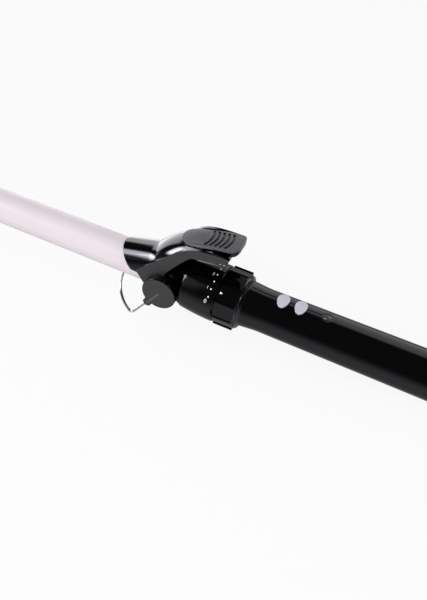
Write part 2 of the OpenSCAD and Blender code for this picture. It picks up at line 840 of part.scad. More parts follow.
module shell_far() {
    color(black) place() difference() {
        intersection() {
            shell_body();
            slab([handle_x0 - 1, handle_x1 + 1], [seam / 2, 2 * handle_r], [-2 * handle_r, 2 * handle_r]);
        }
        for (x = screw_x) {
            bar_y(x, screw_z, -1, 2 * handle_r, screw_r + 0.15);
            bar_y(x, screw_z, head_y, 2 * handle_r, head_r + 0.15);
        }
    }
}

module shell_screws() {
    color(steel) place() for (x = screw_x) difference() {
        union() {
            bar_y(x, screw_z, -6, head_y + 0.5, screw_r - seat);
            bar_y(x, screw_z, head_y, head_y + 1.6, head_r);
        }
        for (a = [0, 90]) translate([x, head_y + 1.3, screw_z]) rotate([0, a, 0])
            translate([-1.4, -0.4, -0.25]) cube([2.8, 1.5, 0.5]);
    }
}

module main_board() {
    color(board_green) place() difference() {
        slab([board_x0, board_x1], [-board_w / 2, board_w / 2], [board_z, board_top]);
        for (x = ledge_x) translate([0, board_screw_y, 0]) bar_z(x, board_z - 1, board_top + 1, 0.7);
    }
}

module board_screws() {
    color(steel) place() for (x = ledge_x) translate([0, board_screw_y, 0]) {
        bar_z(x, board_z - 2, board_top + 0.1, 0.7 - seat);
        bar_z(x, board_top, board_top + 0.9, 1.2);
    }
}

module triac() {
    color(black) place() {
        slab([board_x0 + 26, board_x0 + 36], [-5, 5], [board_z - 5, board_z - seat]);
    }
}

module capacitor() {
    color("orange") place() slab([board_x0 + 44, board_x0 + 57], [-6.5, 6.5], [board_z - 7, board_z - seat]);
}

module fuse() {
    color("white") place() translate([0, 0, board_z - 2.2 - seat]) bar_x(board_x0 + 60, board_x0 + 69, 2.2);
}

module controller() {
    color(black) place() slab([window_x + 9, window_x + 17], [-3, 3], [board_top + seat, board_top + 1.6]);
}

module tact_switches() {
    top_z = button_base_z - button_travel - 0.05;
    color(steel) place() for (x = button_x) {
        slab([x - 3, x + 3], [-3, 3], [board_top + seat, top_z - 0.6]);
        bar_z(x, top_z - 0.7, top_z, 1.6);
    }
}

module indicator_led() {
    color("white") place() bar_z(window_x, board_top + seat, board_top + 2.8, 1.5);
}

module indicator_window() {
    color(soft_grey) place() intersection() {
        handle_outside();
        union() {
            bar_z(window_x, handle_r - shell_t - 1, 2 * handle_r, window_d / 2);
            bar_z(window_x, handle_r - shell_t - 1.4, handle_r - shell_t - 0.7, window_d / 2 + 0.8);
        }
    }
}

// A button: its top follows the handle's roundness and stands a little proud
module button(x) {
    proud = 0.6;
    intersection() {
        bar_x(x - 2 * button_r, x + 2 * button_r, handle_r + proud);
        union() {
            bar_z(x, button_base_z, 2 * handle_r, button_r);
            bar_z(x, button_base_z, button_base_z + 0.6, button_flange_r);
        }
    }
}

module button_front() {
    color(steel) place() button(button_x[0]);
}

module button_rear() {
    color(steel) place() button(button_x[1]);
}

// Swivel for the cord

brush_x = [stub_x0 + 3, stub_x0 + 7];
ring_r = stub_r + 0.5;

module slip_rings() {
    color(brass) place() for (x = brush_x) difference() {
        bar_x(x - 1, x + 1, ring_r);
        bar_x(x - 2, x + 2, stub_r);
    }
}

module brush_contacts() {
    color(brass) place() for (i = [0, 1]) {
        side = i == 0 ? 1 : -1;
        translate([brush_x[i], side * (ring_r + near + 0.25), 0])
            slab([-0.8, 0.8], [-0.25, 0.25], [-2, board_z - seat]);
        translate([brush_x[i], side * (ring_r + near + 0.25), board_z - 0.6])
            slab([board_x1 - 3 - brush_x[i], 0.8], [-0.25, 0.25], [0, 0.6 - seat]);
    }
}

module mains_leads() {
    z = board_top + lead_r + seat;
    color("white") place() both_sides()
        translate([0, 4, z]) bar_x(board_x0 + 58, board_x1 - 1, lead_r);
}

module cord_swivel() {
    mouth_r = 5.4;
    color(black) place() difference() {
        union() {
            bar_x(stub_x0, flange_x + 1, stub_r - seat);
            bar_x(flange_x, flange_x + flange_t, flange_r);
            bar_x(flange_x + 1, handle_x1 + 0.5, swivel_r);
            lathe(concat([[0, handle_x1 + near], [handle_end_r - 6.4, handle_x1 + near]],
                         bend([handle_end_r - 6.4, handle_x1 + near], [handle_end_r - 6.4, handle_x1 + 5],
                              [mouth_r, handle_x1 + 6], [mouth_r, swivel_x1 - 0.8]),
                         [[mouth_r - 0.6, swivel_x1], [0, swivel_x1]]));
        }
        bar_x(flange_x + flange_t, swivel_x1 + 1, cord_bore_d / 2);
    }
}

barrel_tube();
cool_tip();
tip_insulator();
heater_carrier_upper();
heater_carrier_lower();
heater_bar();
heater_film();
carrier_springs();
thermistor();
thermal_cutout();
heater_leads();
heat_sleeve();
mica_washer();
clip_plate();
clip_rivets();
lever();
thumb_pad();
lever_springs();
hinge_pins();
stand_cap_near();
stand_cap_far();
stand_wire();
nose_body();
dial_ring();
dial_contact();
dial_track();
dial_washer();
dial_stop();
shell_near();
shell_far();
shell_screws();
main_board();
board_screws();
triac();
capacitor();
fuse();
controller();
tact_switches();
indicator_led();
indicator_window();
button_front();
button_rear();
mains_leads();
brush_contacts();
slip_rings();
cord_swivel();
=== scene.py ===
# %% [markdown]
# # A curling iron, finished around its frame
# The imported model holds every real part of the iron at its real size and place. This lesson
# keeps that frame as it is and makes the looks around it: smooth shells, moulded edges,
# grooves, a printed scale, and a procedural finish for every surface.

# %% Load the frame
import json
from math import asin, cos, pi, radians, sin, tan

import bmesh
import bpy
from mathutils import Matrix, Vector


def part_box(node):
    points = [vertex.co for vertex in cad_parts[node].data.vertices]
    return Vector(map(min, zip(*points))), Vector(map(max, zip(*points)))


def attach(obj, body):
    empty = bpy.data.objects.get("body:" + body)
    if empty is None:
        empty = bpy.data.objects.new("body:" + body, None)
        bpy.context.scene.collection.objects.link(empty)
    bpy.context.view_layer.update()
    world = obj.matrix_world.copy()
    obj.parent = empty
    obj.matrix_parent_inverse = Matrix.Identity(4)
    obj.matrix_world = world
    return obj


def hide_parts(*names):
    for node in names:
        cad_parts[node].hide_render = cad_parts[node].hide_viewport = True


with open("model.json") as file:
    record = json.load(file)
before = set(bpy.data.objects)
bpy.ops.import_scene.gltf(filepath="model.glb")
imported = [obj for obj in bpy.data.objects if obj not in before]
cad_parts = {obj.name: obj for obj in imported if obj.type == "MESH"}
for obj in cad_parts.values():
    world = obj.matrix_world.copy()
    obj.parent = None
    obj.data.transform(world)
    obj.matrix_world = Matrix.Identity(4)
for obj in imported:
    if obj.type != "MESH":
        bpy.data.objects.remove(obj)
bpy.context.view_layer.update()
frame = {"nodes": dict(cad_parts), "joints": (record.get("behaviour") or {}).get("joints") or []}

# %% [markdown]
# ## Working in millimetres from the hinge
# Everything on this iron is turned about the barrel's axis or swings on the lever's hinge, so
# shapes are drawn in millimetres from the point of the axis above the hinge. X runs along the
# barrel to the cord, Y across and Z up. One matrix takes a finished shape to its place.

# %% Working origin
MM = 0.001
joints = {joint["name"]: joint for joint in frame["joints"]}
hinge = Vector(joints["lever_hinge"]["pos_m"])
tube_low, tube_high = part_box("barrel_tube")
axis_height = (tube_low.z + tube_high.z) / 2
to_row = Matrix.Translation((hinge.x, 0, axis_height)) @ Matrix.Scale(MM, 4)
from_row = to_row.inverted()
hinge_z = (from_row @ hinge).z


def span(node, side="x"):
    """Where a node of the frame starts and stops along one axis, in working millimetres."""
    low, high = (from_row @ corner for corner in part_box(node))
    return getattr(low, side), getattr(high, side)


def placed(name, data):
    """A new object in the scene."""
    made = bpy.data.objects.new(name, data)
    bpy.context.scene.collection.objects.link(made)
    return made


print("hinge below the axis:", round(hinge_z, 2), "mm; barrel:", [round(x, 1) for x in span("barrel_tube")])

# %% [markdown]
# ## Camera
# The camera comes first, because it decides which details will be seen. It looks down along
# the handle from the near side and is turned a little about its own axis, so that the iron
# runs across the frame from upper left to lower right.

# %% Camera
AIM = Vector((29.2, -7.2, 0))
AIM_DISTANCE = 442
AZIMUTH, ELEVATION, ROLL = radians(17.46), radians(44.47), radians(9.32)
LENS, FILM_WIDTH = 48, 36

tilted = Matrix.Rotation(AZIMUTH, 4, "Z") @ Matrix.Rotation(pi / 2 - ELEVATION, 4, "X")
turn = tilted @ Matrix.Rotation(ROLL, 4, "Z")
camera_data = bpy.data.cameras.new("camera")
camera_data.lens = LENS
camera_data.sensor_width = FILM_WIDTH
camera = placed("camera", camera_data)
eye = AIM + AIM_DISTANCE * (turn @ Vector((0, 0, 1)))
camera.matrix_world = Matrix.Translation(to_row @ eye) @ turn
bpy.context.scene.camera = camera

# %% [markdown]
# ## Shader maths as Python
# A material is a graph of nodes, which is long to write and hard to read. The class below
# wraps one socket so that an expression such as `0.3 + grain * 0.2` adds its own Math nodes.
# Every other node comes from one method of the graph.


# %% Values and finishes
class Value:
    """A socket of a graph that takes part in Python arithmetic."""

    def __init__(self, graph, socket):
        self.graph = graph
        self.socket = socket

    def maths(self, operation, first, second=0.0):
        """A Math node between two values."""
        return self.graph.node("ShaderNodeMath", {"operation": operation}, {0: first, 1: second})

    def __add__(self, other):
        return self.maths("ADD", self, other)

    def __mul__(self, other):
        return self.maths("MULTIPLY", self, other)

    def __gt__(self, other):
        return self.maths("GREATER_THAN", self, other)

    def __abs__(self):
        return self.maths("ABSOLUTE", self)

    def step(self, low, high):
        """0 at low and 1 at high, with a soft change between them."""
        inputs = {"Value": self, "From Min": low, "From Max": high}
        return self.graph.node("ShaderNodeMapRange", {"interpolation_type": "SMOOTHSTEP"}, inputs)

    __radd__ = __add__


class Graph:
    """A node tree that is written as expressions."""

    def __init__(self, tree):
        self.tree = tree

    def feed(self, socket, value):
        """Links a value to a socket, or sets the socket to a constant."""
        if isinstance(value, Value):
            self.tree.links.new(value.socket, socket)
        else:
            socket.default_value = value

    def node(self, kind, settings=None, inputs=None, output=0):
        """Adds a node and gives one of its outputs."""
        made = self.tree.nodes.new(kind)
        for key, value in (settings or {}).items():
            setattr(made, key, value)
        for key, value in (inputs or {}).items():
            self.feed(made.inputs[key], value)
        return Value(self, made.outputs[output])


class Finish(Graph):
    """A material, with the slot that it stands for, which is often its own name."""

    def __init__(self, name, colour, roughness, slot=None, **sockets):
        self.slot = slot or name
        self.material = bpy.data.materials.new(name)
        self.material.use_nodes = True
        super().__init__(self.material.node_tree)
        self.surface = self.tree.nodes["Principled BSDF"]
        self.material.diffuse_color = (*colour, 1)
        self.set({"Base Color": (*colour, 1), "Roughness": roughness})
        self.set({key.replace("_", " "): value for key, value in sockets.items()})

    def set(self, inputs):
        """Sets or links inputs of the surface."""
        for key, value in inputs.items():
            self.feed(self.surface.inputs[key], value)

    def place(self, stretch=(1, 1, 1)):
        """Object coordinates in millimetres, stretched along an axis."""
        here = self.node("ShaderNodeTexCoord", output="Object")
        return self.node("ShaderNodeMapping", inputs={"Vector": here, "Scale": [k / MM for k in stretch]})

    def grain(self, size, detail=2.0, stretch=(1, 1, 1)):
        """Noise between 0 and 1 with features of about size millimetres."""
        inputs = {"Vector": self.place(stretch), "Scale": 1 / size, "Detail": detail}
        return self.node("ShaderNodeTexNoise", None, inputs)

    def tint(self, mask, dark, light):
        """A colour between dark and light."""
        made = self.tree.nodes.new("ShaderNodeMix")
        made.data_type = "RGBA"
        for key, value in {"Factor": mask, "A": (*dark, 1), "B": (*light, 1)}.items():
            self.feed(next(s for s in made.inputs if s.name == key and s.enabled), value)
        return Value(self, next(s for s in made.outputs if s.enabled))

    def relief(self, height, depth):
        """A bump of depth millimetres."""
        inputs = {"Height": height, "Strength": 1.0, "Distance": depth * MM}
        self.set({"Normal": self.node("ShaderNodeBump", None, inputs)})
        return self


# %% [markdown]
# ## Finishes
# Most of the iron is black plastic, and its kinds differ only in gloss: the handle, nose and
# dial are polished, the caps and the arms come satin from the mould, and the pad is soft to
# the touch. Each one gets its own small unevenness, because a perfectly even roughness looks
# like a drawing.


# %% Plastic, ink and coating
def moulded(name, colour, roughness, uneven=0.04, texture=0.0, grain_size=0.4, **sockets):
    """Plastic with a slow change of gloss over it, and a fine moulded texture if asked for."""
    made = Finish(name, colour, roughness, **sockets)
    slow = made.grain(9, 3)
    fine = made.grain(grain_size, 3)
    light = [min(1, c * 1.25) for c in colour]
    dark = [c * 0.8 for c in colour]
    made.set({
        "Base Color": made.tint(slow * 0.6 + fine * 0.4, dark, light),
        "Roughness": roughness - uneven + slow * (uneven * 1.4) + fine * (uneven * 0.6),
    })
    return made.relief(fine + slow * 0.5, texture) if texture else made


gloss_black = moulded("gloss_black", (0.001, 0.001, 0.0012), 0.07, 0.025,
                      IOR=1.5, Specular_Tint=(0.92, 0.9, 1, 1))
satin_black = moulded("satin_black", (0.036, 0.036, 0.038), 0.5, 0.06, 0.012, 0.25)
pearl_button = moulded("pearl_button", (0.66, 0.66, 0.75), 0.32, 0.04, 0.002, Coat_Weight=0.4)
soft_pad = moulded("soft_pad", (0.08, 0.078, 0.09), 0.6, 0.06, 0.02, 0.3)
# A lighter black for the caps' ribs: a painted highlight along the rib, not wear.
worn_black = moulded("worn_black", (0.09, 0.09, 0.095), 0.4, 0.06, 0.006, 0.3, slot="satin_black")
# White print ink; its faint emission is a painted glow that keeps the marks bright in the hood's shade.
white_ink = moulded("white_ink", (0.8, 0.8, 0.8), 0.5, 0.05, slot="pearl_button",
                    Emission_Color=(1, 1, 1, 1), Emission_Strength=0.12)
# Grey for two short strokes on the window lens: painted glints, not print.
faint_ink = moulded("faint_ink", (0.3, 0.3, 0.32), 0.5, 0.05, slot="pearl_button")
sleeve_white = moulded("sleeve_white", (0.75, 0.74, 0.7), 0.5, slot="lead_sleeve")
chip_black = moulded("chip_black", (0.03, 0.03, 0.03), 0.6, 0.05, 0.01)
capacitor_case = moulded("capacitor_case", (0.75, 0.42, 0.05), 0.3, slot="capacitor_yellow")
led_clear = moulded("led_clear", (0.8, 0.82, 0.85), 0.15, slot="led_white")


def pink_coating():
    """Satin ceramic coating with a pearl grain, baked on metal."""
    made = Finish("pink_coating", (0.8, 0.72, 0.76), 0.36, Coat_Weight=0.15, Coat_Roughness=0.3)
    pearl = made.grain(0.12, 2)
    drift = made.grain(14, 2, (0.4, 1, 1))
    made.set({
        "Base Color": made.tint(pearl * 0.5 + drift * 0.5, (0.83, 0.735, 0.78), (0.87, 0.79, 0.83)),
        "Roughness": 0.3 + pearl * 0.08 + drift * 0.06,
    })
    return made.relief(pearl, 0.003)


pink_coating = pink_coating()

# %% [markdown]
# Metals differ by what made them: drawn wire is bright with faint lengthwise lines, stamped
# steel has a brushed grain, and extruded aluminium shows long streaks. The same function makes
# them all, with the grain stretched along the piece.


# %% Metals
def drawn(name, colour, roughness, uneven, slot=None):
    """Metal with a streaked grain that runs along X."""
    made = Finish(name, colour, roughness, slot, Metallic=1.0)
    streak = made.grain(0.3, 3, (0.05, 1, 1))
    made.set({
        "Base Color": made.tint(streak, [c * 0.82 for c in colour], colour),
        "Roughness": roughness - uneven / 2 + streak * uneven,
    })
    return made.relief(streak, 0.004)


chrome_wire = drawn("chrome_wire", (0.8, 0.8, 0.82), 0.12, 0.06)
steel = drawn("steel", (0.6, 0.6, 0.62), 0.32, 0.16)
brass = drawn("brass", (0.78, 0.6, 0.25), 0.3, 0.12, "brass_contact")
aluminium = drawn("aluminium", (0.7, 0.7, 0.71), 0.38, 0.16, "heater_aluminium")

# %% [markdown]
# The hidden parts get finishes too, since a reader may open the iron: fired ceramic is dull
# and speckled, mica shows flaky layers, and the circuit board has copper traces that show
# through the green as slightly raised lines.


# %% Insulators and the board
def speckled(name, colour, roughness, size, depth, stretch=(1, 1, 1)):
    """Ceramic, mica or film: speckled, and rough or flaky."""
    made = Finish(name, colour, roughness)
    specks = made.grain(size, 4, stretch)
    made.set({
        "Base Color": made.tint(specks, [c * 0.75 for c in colour], colour),
        "Roughness": roughness - 0.05 + specks * 0.12,
    })
    return made.relief(specks, depth)


ceramic = speckled("ceramic", (0.82, 0.8, 0.74), 0.75, 0.5, 0.02)
fuse_ceramic = speckled("fuse_ceramic", (0.8, 0.78, 0.7), 0.5, 0.8, 0.008)
mica = speckled("mica", (0.66, 0.6, 0.48), 0.45, 1.2, 0.02, (0.3, 1, 1))
film = speckled("film", (0.55, 0.33, 0.08), 0.25, 2.0, 0.004)


TRACE_HEIGHT = 0.03


def circuit_board():
    """Green solder resist over copper traces."""
    made = Finish("circuit_board", (0.05, 0.22, 0.11), 0.35, "board")
    traces = made.node("ShaderNodeTexBrick", {"offset": 0.35}, {
        "Vector": made.place(), "Scale": 1.0, "Mortar Size": 0.16, "Mortar Smooth": 0.1,
        "Brick Width": 5.5, "Row Height": 1.9,
    }, output="Fac")
    made.set({
        "Base Color": made.tint(traces, (0.03, 0.16, 0.08), (0.08, 0.3, 0.14)),
        "Roughness": 0.32 + made.grain(1.5) * 0.1,
    })
    return made.relief(traces, TRACE_HEIGHT)


circuit_board = circuit_board()


def smoked_lens():
    """Dark clear plastic over the indicator."""
    made = Finish("smoked_lens", (0.01, 0.01, 0.012), 0.05, IOR=1.49)
    made.set({
        "Roughness": 0.04 + made.grain(2.0) * 0.03,
        "Base Color": made.tint(made.grain(4.0), (0.006, 0.006, 0.008), (0.016, 0.016, 0.02)),
    })
    return made


smoked_lens = smoked_lens()

# %% [markdown]
# ## Shaping helpers
# Three operators make almost every part of a turned and moulded product: `spin` turns an
# outline about the axis, `extrude_face_region` pulls an outline into a plate, and a Boolean
# joins, cuts or overlaps the two. The helpers below keep to those, in millimetres. Pieces that
# are pressed together stay a seat apart, and pieces that turn on one another have some play.

# %% Outlines and solids
SEAT, PLAY = 0.02, 0.05


def off(x, z):
    """A point or a step in the XZ plane."""
    return Vector((x, z))


def curve(a, b, c, d, steps=8):
    """Points of a cubic curve from a to d, without a."""
    a, b, c, d = (Vector(p) for p in (a, b, c, d))
    parts = [i / steps for i in range(1, steps + 1)]
    return [a * (1 - t) ** 3 + b * 3 * t * (1 - t) ** 2 + c * 3 * t * t * (1 - t) + d * t ** 3 for t in parts]


def arc(centre, radius, start, end, steps=12):
    """Points of an arc, with angles in degrees from the first axis towards the second."""
    angles = [radians(start + (end - start) * i / steps) for i in range(steps + 1)]
    return [Vector((centre[0] + radius * cos(a), centre[1] + radius * sin(a))) for a in angles]


def at(x, z, angle):
    """A place in the XZ plane, turned about Y."""
    return Matrix.Translation((x, 0, z)) @ Matrix.Rotation(angle, 4, "Y")


def tidy(shape):
    """Merges doubled points, turns faces outwards, and gives all an order that every run repeats."""
    bmesh.ops.remove_doubles(shape, verts=shape.verts, dist=1e-4)
    bmesh.ops.recalc_face_normals(shape, faces=shape.faces)
    for number, vert in enumerate(sorted(shape.verts, key=lambda v: v.co[:])):
        vert.index = number
    shape.verts.sort()
    for row in (shape.edges, shape.faces):
        for number, part in enumerate(sorted(row, key=lambda p: sorted(v.index for v in p.verts))):
            part.index = number
        row.sort()
    return shape


def lathe(outline, steps=128, closed=False):
    """Turns an outline of (x, radius) points about the X axis."""
    shape = bmesh.new()
    points = [shape.verts.new((x, 0, radius)) for x, radius in outline]
    pairs = list(zip(points, points[1:]))
    if closed:
        pairs.append((points[-1], points[0]))
    edges = [shape.edges.new(pair) for pair in pairs]
    bmesh.ops.spin(shape, geom=points + edges, cent=(0, 0, 0), axis=(1, 0, 0), angle=2 * pi,
                   steps=steps, use_merge=True)
    return tidy(shape)


def bar(start, end, radius, steps=96):
    """A round bar between two points."""
    start, end = Vector(start), Vector(end)
    along = end - start
    place = Matrix.Translation((start + end) / 2) @ along.to_track_quat("Z", "Y").to_matrix().to_4x4()
    shape = bmesh.new()
    bmesh.ops.create_cone(shape, cap_ends=True, segments=steps, radius1=radius, radius2=radius,
                          depth=along.length, matrix=place)
    return shape


def block(x, y, z):
    """A block between two limits on each axis."""
    limits = (x, y, z)
    shape = bmesh.new()
    middle = [sum(pair) / 2 for pair in limits]
    size = [pair[1] - pair[0] for pair in limits]
    bmesh.ops.create_cube(shape, size=1, matrix=Matrix.Translation(middle) @ Matrix.Diagonal((*size, 1)))
    return shape


def pulled(outline, vector):
    """A flat outline of 3-D points, pulled along a vector into a solid."""
    shape = bmesh.new()
    face = shape.faces.new([shape.verts.new(point) for point in outline])
    made = bmesh.ops.extrude_face_region(shape, geom=[face])["geom"]
    bmesh.ops.translate(shape, verts=[v for v in made if isinstance(v, bmesh.types.BMVert)], vec=vector)
    return tidy(shape)


def plate(outline, y0, y1):
    """A plate with its outline in the XZ plane."""
    return pulled([(x, y0, z) for x, z in outline], (0, y1 - y0, 0))


def hoop(radius, steps, place):
    """A new shape that is one open ring of edges, and the ring."""
    shape = bmesh.new()
    bmesh.ops.create_circle(shape, segments=steps, radius=radius, matrix=place)
    return shape, shape.edges[:]


def pull(shape, ring, vector):
    """Pulls an open ring of edges along, and gives the new ring."""
    made = bmesh.ops.extrude_edge_only(shape, edges=ring)["geom"]
    bmesh.ops.translate(shape, verts=[v for v in made if isinstance(v, bmesh.types.BMVert)], vec=vector)
    return [e for e in made if isinstance(e, bmesh.types.BMEdge)]


def swing(shape, ring, centre, axis, angle, steps):
    """Spins an open ring of edges about an axis, and gives the new ring."""
    made = bmesh.ops.spin(shape, geom=ring, cent=centre, axis=axis, angle=angle, steps=steps)["geom_last"]
    return [e for e in made if isinstance(e, bmesh.types.BMEdge)]


def fill_ends(shape):
    """Closes the open ends of a tube or a wire."""
    bmesh.ops.holes_fill(shape, edges=[e for e in shape.edges if e.is_boundary], sides=0)
    return tidy(shape)


def meshed(name, shape):
    """A mesh made of a shape, which is used up."""
    mesh = bpy.data.meshes.new(name)
    shape.to_mesh(mesh)
    shape.free()
    return mesh


def shaped(how, base, *tools):
    """UNION, DIFFERENCE or INTERSECT of a solid with each tool in turn."""
    objects = [placed("shaping", meshed("shaping", shape)) for shape in (base, *tools)]
    for tool in objects[1:]:
        step = objects[0].modifiers.new("shaping", "BOOLEAN")
        step.operation = how
        step.solver = "EXACT"
        step.object = tool
    bpy.context.view_layer.update()
    result = bmesh.new()
    result.from_mesh(objects[0].evaluated_get(bpy.context.evaluated_depsgraph_get()).data)
    for made in objects:
        mesh = made.data
        bpy.data.objects.remove(made)
        bpy.data.meshes.remove(mesh)
    return result


def simplified(shape, merge):
    """A solid without the slivers that a Boolean leaves on its faces."""
    bmesh.ops.remove_doubles(shape, verts=shape.verts, dist=merge)
    bmesh.ops.dissolve_limit(shape, angle_limit=radians(0.3), verts=shape.verts[:], edges=shape.edges[:])
    return shape


# %% [markdown]
# ## Finishing a piece
# Moulded edges are never sharp: a fine rounding catches the light and says how big a thing is.
# The Bevel modifier rounds every edge that turns by more than the limit, and Weighted Normal
# keeps the flat faces flat beside it.


# %% Finish and mount a piece
def mount(name, shape, body, finish, nodes=(), edge=0.0, limit=30, extra=()):
    """Puts a finished shape in its place, on its body, standing for its nodes."""
    shape.transform(to_row)
    for face in shape.faces:
        face.smooth = True
    for line in shape.edges:
        line.smooth = len(line.link_faces) == 2 and line.calc_face_angle() < radians(limit)
    made = placed(name, meshed(name, shape))
    for skin in (finish, *extra):
        made.data.materials.append(skin.material)
    if edge:
        rounding = made.modifiers.new("rounded edges", "BEVEL")
        rounding.width = edge * MM
        rounding.segments = 2
        rounding.limit_method = "ANGLE"
        rounding.angle_limit = radians(limit)
        rounding.miter_outer = "MITER_ARC"
        weighting = made.modifiers.new("flat faces stay flat", "WEIGHTED_NORMAL")
        weighting.keep_sharp = True
    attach(made, body)
    if nodes:
        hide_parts(*nodes)
    print(name, len(made.data.polygons), "faces")


# %% [markdown]
# ## Barrel and cool tip
# The barrel is a drawn tube with a baked coating, so its outline is turned with its wall and a
# small radius at the mouth. The tip is a moulded plug. Its grooves are real cuts, since they
# show at the outline of the tip.

# %% Barrel
barrel_x0, barrel_x1 = span("barrel_tube")
barrel_r = span("barrel_tube", "z")[1]
BARREL_WALL = 1
bore_r = barrel_r - BARREL_WALL

barrel = lathe([
    (barrel_x0, bore_r), (barrel_x0, barrel_r - 0.2), (barrel_x0 + 0.06, barrel_r - 0.06),
    (barrel_x0 + 0.2, barrel_r), (barrel_x1, barrel_r), (barrel_x1, bore_r),
], closed=True)
mount("barrel", barrel, "handle", pink_coating, ["barrel_tube"])

# %% Cool tip
tip_x0 = span("cool_tip")[0]
tip_r = barrel_r - 0.3
TIP_ROUND = 5
GROOVES, GROOVE_PITCH = 3, 2.4
groove_r = tip_r - 0.3
plug_r, hollow_r = bore_r - SEAT, bore_r - 1.8
plug_end, hollow_end = barrel_x0 + 12, barrel_x0 - 8

outline = [(tip_x0 + 0.5, 0), (tip_x0 + 0.5, 2.2), (tip_x0 + 0.1, 3)]
outline += arc((tip_x0 + TIP_ROUND, tip_r - TIP_ROUND), TIP_ROUND, 180, 90)
for k in range(GROOVES):
    x = tip_x0 + 7 + GROOVE_PITCH * k
    outline += [(x, tip_r), (x + 0.2, groove_r), (x + 0.6, groove_r), (x + 0.8, tip_r)]
outline += [
    (barrel_x0 - 0.3, tip_r), (barrel_x0, tip_r - 0.3), (barrel_x0, plug_r), (plug_end, plug_r),
    (plug_end, hollow_r), (hollow_end, hollow_r), (hollow_end, 0),
]
mount("tip_cap", lathe(outline), "handle", satin_black, ["cool_tip"], edge=0.12)

# %% [markdown]
# ## Clip plate
# The clip is a strip of sheet metal rolled to the barrel's curve, with a rounded tongue at its
# free end. It is cut here as it is in a press: a tube, then everything outside the tongue's
# plan is taken away.

# %% Clip
clip_x0, collar_x1 = span("clip_plate")
clip_edge_z, clip_out_r = span("clip_plate", "z")
CLIP_T = 0.8
clip_r = clip_out_r - CLIP_T
TONGUE_LEN, TONGUE_STEPS = 7.5, 12

tube = lathe([
    (clip_x0 - 1, clip_r), (clip_x0 - 1, clip_out_r), (collar_x1, clip_out_r), (collar_x1, clip_r),
], closed=True)
plan_half = clip_out_r + 1
turns = [radians(90 * i / TONGUE_STEPS) for i in range(-TONGUE_STEPS, TONGUE_STEPS + 1)]
plan = [(clip_x0 + TONGUE_LEN * (1 - cos(a)), plan_half * sin(a)) for a in turns]
plan += [(collar_x1 + 1, plan_half), (collar_x1 + 1, -plan_half)]
stamp = pulled([(x, y, clip_edge_z) for x, y in plan], (0, 0, clip_out_r))
mount("clip", shaped("INTERSECT", tube, stamp), "clip_lever", pink_coating, ["clip_plate"], edge=0.15)

# %% [markdown]
# ## Lever
# The lever is one moulding: a collar that grips the clip, a hood that rises from the collar
# and levels out under the thumb, and two arms that run from the hinge up to the pad. The
# hood's neck is a bent tube. The collar's top, the fillet in the crease behind it and the
# hood's top are round bars, each set by a point on its crown and a slope.

# %% Lever sizes
arm_out = span("lever", "y")[1]
arm_in = barrel_r + 0.3
collar_r = arm_out
collar_x0 = span("lever")[0]
collar_edge = clip_edge_z + 1.1
neck_r = barrel_r + 1.5
LEVER_RISE = 35.6
LEVER_WALL = 2.2
PIN_R = 2

arm_heel = off(-17.2, 3.6)
arm_toe = off(-12, -3.4)
arm_bend = off(8, LEVER_RISE - 6.6)
arm_root = off(0.2, 9)
arm_tip = off(35.6, LEVER_RISE - 0.2)
arm_inside = arm_bend + off(6, -2.1)
tip_inside = off(26, LEVER_RISE - 5.9)
BOSS_R = 6.4

neck_mid = arm_bend + off(15.16, -33.37)
neck_tube_r = collar_r + 1.9
NECK_BOW, NECK_SWEEP, NECK_END = 40, radians(66), radians(17)
collar_crown, COLLAR_SLOPE = off(collar_x0, collar_r + 0.1), radians(17)
crease_crown, CREASE_SLOPE = off(-10.5, 18.35), radians(36.7)
top_crown, TOP_SLOPE, TOP_ROUND = off(arm_bend.x + 6, LEVER_RISE - 1), radians(4.6), 40

arm_outline = [arm_heel]
arm_outline += curve(arm_heel, arm_heel + off(5.7, 6.9), arm_bend + off(-7.5, -7), arm_bend, 16)
arm_outline += curve(arm_bend, arm_bend + off(6, 5.6), off(22, LEVER_RISE - 0.4), arm_tip, 16)
arm_outline += curve(arm_tip, arm_tip + off(-2.2, -2.3), off(31, LEVER_RISE - 4.4), tip_inside, 8)
arm_outline += curve(tip_inside, off(21, LEVER_RISE - 7.2), off(17, LEVER_RISE - 7), arm_inside, 10)
arm_outline += curve(arm_inside, arm_bend + off(2.5, -5.5), arm_root + off(4.3, 6.5), arm_root, 16)
arm_outline += arc((0, hinge_z), BOSS_R, 60, -150, 28)
arm_outline.append(arm_toe)


def axis_of(crown, slope, radius):
    """The middle and the direction of a bar with its crown through a point at a slope."""
    ahead = Vector((cos(slope), 0, sin(slope)))
    return Vector((crown.x, 0, crown.y)) - radius * Vector((-sin(slope), 0, cos(slope))), ahead


def inclined(crown, slope, radius):
    """A long round bar, set by a point on its crown and a slope."""
    middle, ahead = axis_of(crown, slope, radius)
    return bar(middle - 70 * ahead, middle + 70 * ahead, radius, 160)


def neck_tube(lift=0.0):
    """The neck's outside, bent over a wide arc, or a surface that lies lift above it."""
    place = at(*neck_mid, -NECK_END) @ at(0, NECK_BOW - neck_tube_r, pi / 2)
    shape, ring = hoop(neck_tube_r + lift, 160, place)
    swing(shape, ring, (neck_mid.x, 0, neck_mid.y), (0, 1, 0), -NECK_SWEEP, 66)
    pull(shape, ring, 45 * Vector((cos(NECK_END), 0, sin(NECK_END))))
    return fill_ends(shape)


def hood_bars(lift=0.0):
    """The outside of the hood, or a surface that lies lift above it."""
    top = inclined(top_crown + off(0, lift), TOP_SLOPE, TOP_ROUND + lift)
    return shaped("INTERSECT", neck_tube(lift), top)


